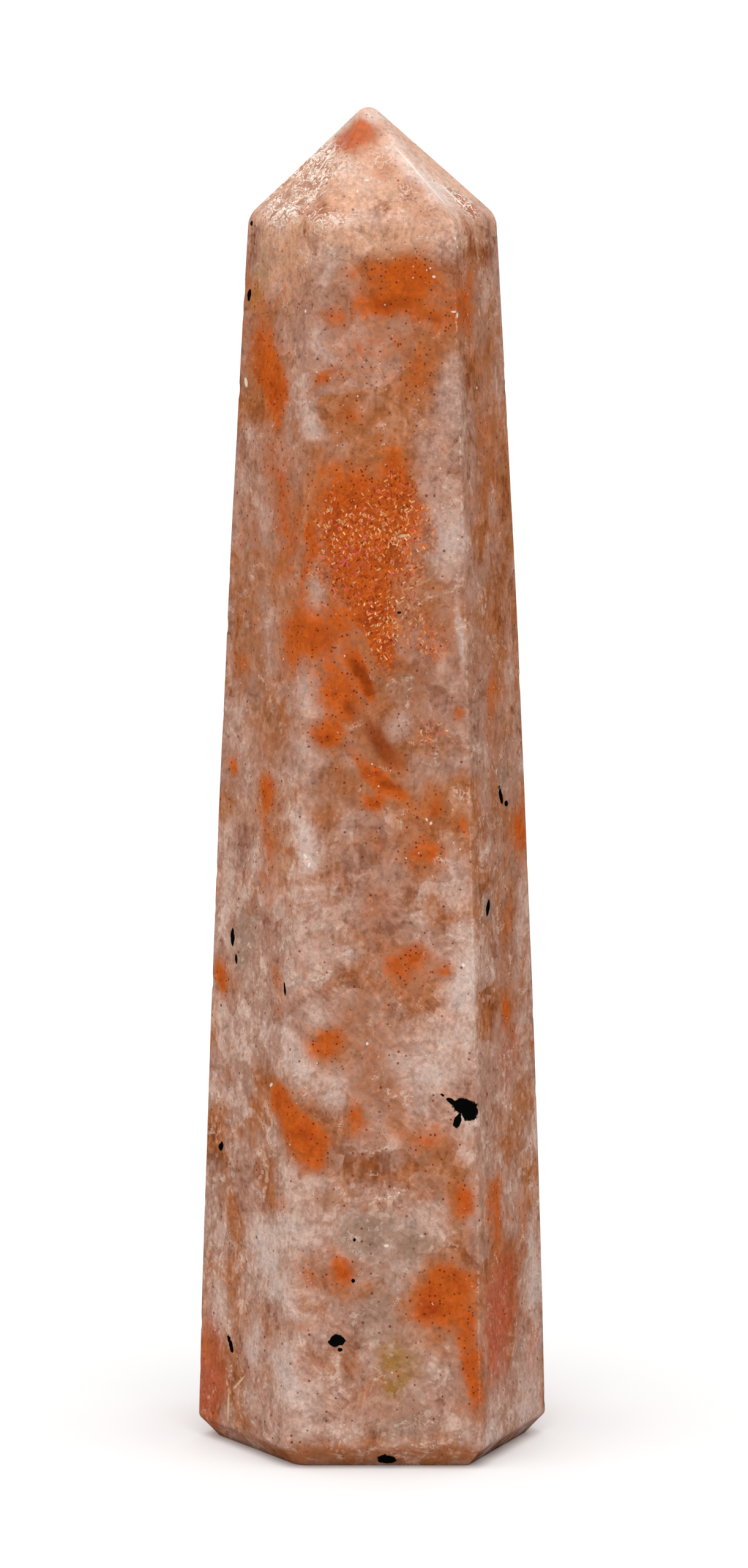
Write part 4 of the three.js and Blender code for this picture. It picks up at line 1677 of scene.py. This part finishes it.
@dataclass
class Obelisk:
    """The sunstone itself: its cut, its markings and its finish."""

    loft: StoneLoft
    markings: Markings
    finish: SunstoneFinish

    def build(self) -> bpy.types.Object:
        """Builds and dresses the stone, and puts it in place of the plain solid.

        Returns:
            The stone.
        """
        stone = self.loft.build(bpy.data.materials.new("uncoloured_stone"))
        bpy.context.view_layer.update()
        self.markings.paint(stone)
        stone.data.materials.clear()
        stone.data.materials.append(SunstoneRecipe(self.finish).material(self.markings.specks(stone)))
        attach(stone, "root")
        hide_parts("obelisk")
        return stone


@dataclass(frozen=True)
class BroadLight:
    """Soft light from one side of the room, even over the whole floor. Angles are in degrees."""

    name: str
    towards: tuple[float, float, float]
    strength: float
    spread: float

    def set_up(self) -> None:
        """Adds the light."""
        data = bpy.data.lights.new(self.name, "SUN")
        data.energy = self.strength
        data.angle = math.radians(self.spread)
        lamp = bpy.data.objects.new(self.name, data)
        lamp.rotation_euler = Vector(self.towards).to_track_quat("-Z", "Y").to_euler()
        bpy.context.scene.collection.objects.link(lamp)


@dataclass
class Studio:
    """A plain pale floor and soft white light."""

    floor_half_size: float = 6.0
    floor_colour: Colour = (0.93, 0.93, 0.93, 1.0)
    floor_roughness: float = 0.9
    floor_gloss: float = 0.1
    sky_strength: float = 0.9
    sky_floor: float = 0.0
    sky_full: float = 0.5
    lights: tuple[BroadLight, ...] = (
        BroadLight("key_light", (0.03, 0.4, -0.91), 1.35, 70),
    )

    def floor_material(self) -> bpy.types.Material:
        """Makes the floor's matte paint.

        Returns:
            The material.
        """
        made = bpy.data.materials.new("pale_floor")
        made.use_nodes = True
        made.node_tree.nodes.clear()
        bench = NodeBench(made.node_tree)
        inputs = {"Base Color": self.floor_colour, "Roughness": self.floor_roughness,
                  "Specular IOR Level": self.floor_gloss}
        shader = bench.node("ShaderNodeBsdfPrincipled", inputs)
        bench.feed(bench.node("ShaderNodeOutputMaterial").inputs["Surface"], shader.outputs[0])
        return made

    def build(self) -> bpy.types.Object:
        """Builds the floor, the sky and the lights.

        Returns:
            The floor.
        """
        reach = self.floor_half_size
        mesh = bpy.data.meshes.new("floor")
        corners = [(-reach, -reach, 0), (reach, -reach, 0), (reach, reach, 0), (-reach, reach, 0)]
        mesh.from_pydata(corners, [], [(0, 1, 2, 3)])
        mesh.materials.append(self.floor_material())
        floor = bpy.data.objects.new("floor", mesh)
        floor.visible_glossy = False
        bpy.context.scene.collection.objects.link(floor)
        sky = bpy.data.worlds.new("soft_white")
        sky.use_nodes = True
        bench = NodeBench(sky.node_tree)
        rise = bench.parts(bench.node("ShaderNodeTexCoord").outputs["Generated"])[2]
        glow = bench.span(rise, self.sky_floor, self.sky_full, 0.0, self.sky_strength)
        background = sky.node_tree.nodes["Background"]
        background.inputs["Color"].default_value = (1, 1, 1, 1)
        bench.feed(background.inputs["Strength"], glow)
        bpy.context.scene.world = sky
        bpy.context.scene.view_settings.view_transform = "Standard"
        for light in self.lights:
            light.set_up()
        return floor


def report(piece: bpy.types.Object) -> None:
    """Logs how many triangles a piece has."""
    triangles = sum(len(face.vertices) - 2 for face in piece.data.polygons)
    log.info("%s: %d triangles", piece.name, triangles)


def plain(box: Any) -> list[list[float]]:
    """Turns a box of two corners into plain lists of numbers."""
    return [[float(value) for value in corner] for corner in box]


def main() -> None:
    """Builds the studio and the stone in order, and logs their triangle counts."""
    logging.basicConfig(level=logging.INFO, format="%(name)s: %(message)s")
    camera = StudioCamera()
    camera.place()
    report(Studio().build())
    stone = Obelisk(StoneLoft(), Markings(camera), SunstoneFinish()).build()
    report(stone)


if __name__ == "__main__":
    main()
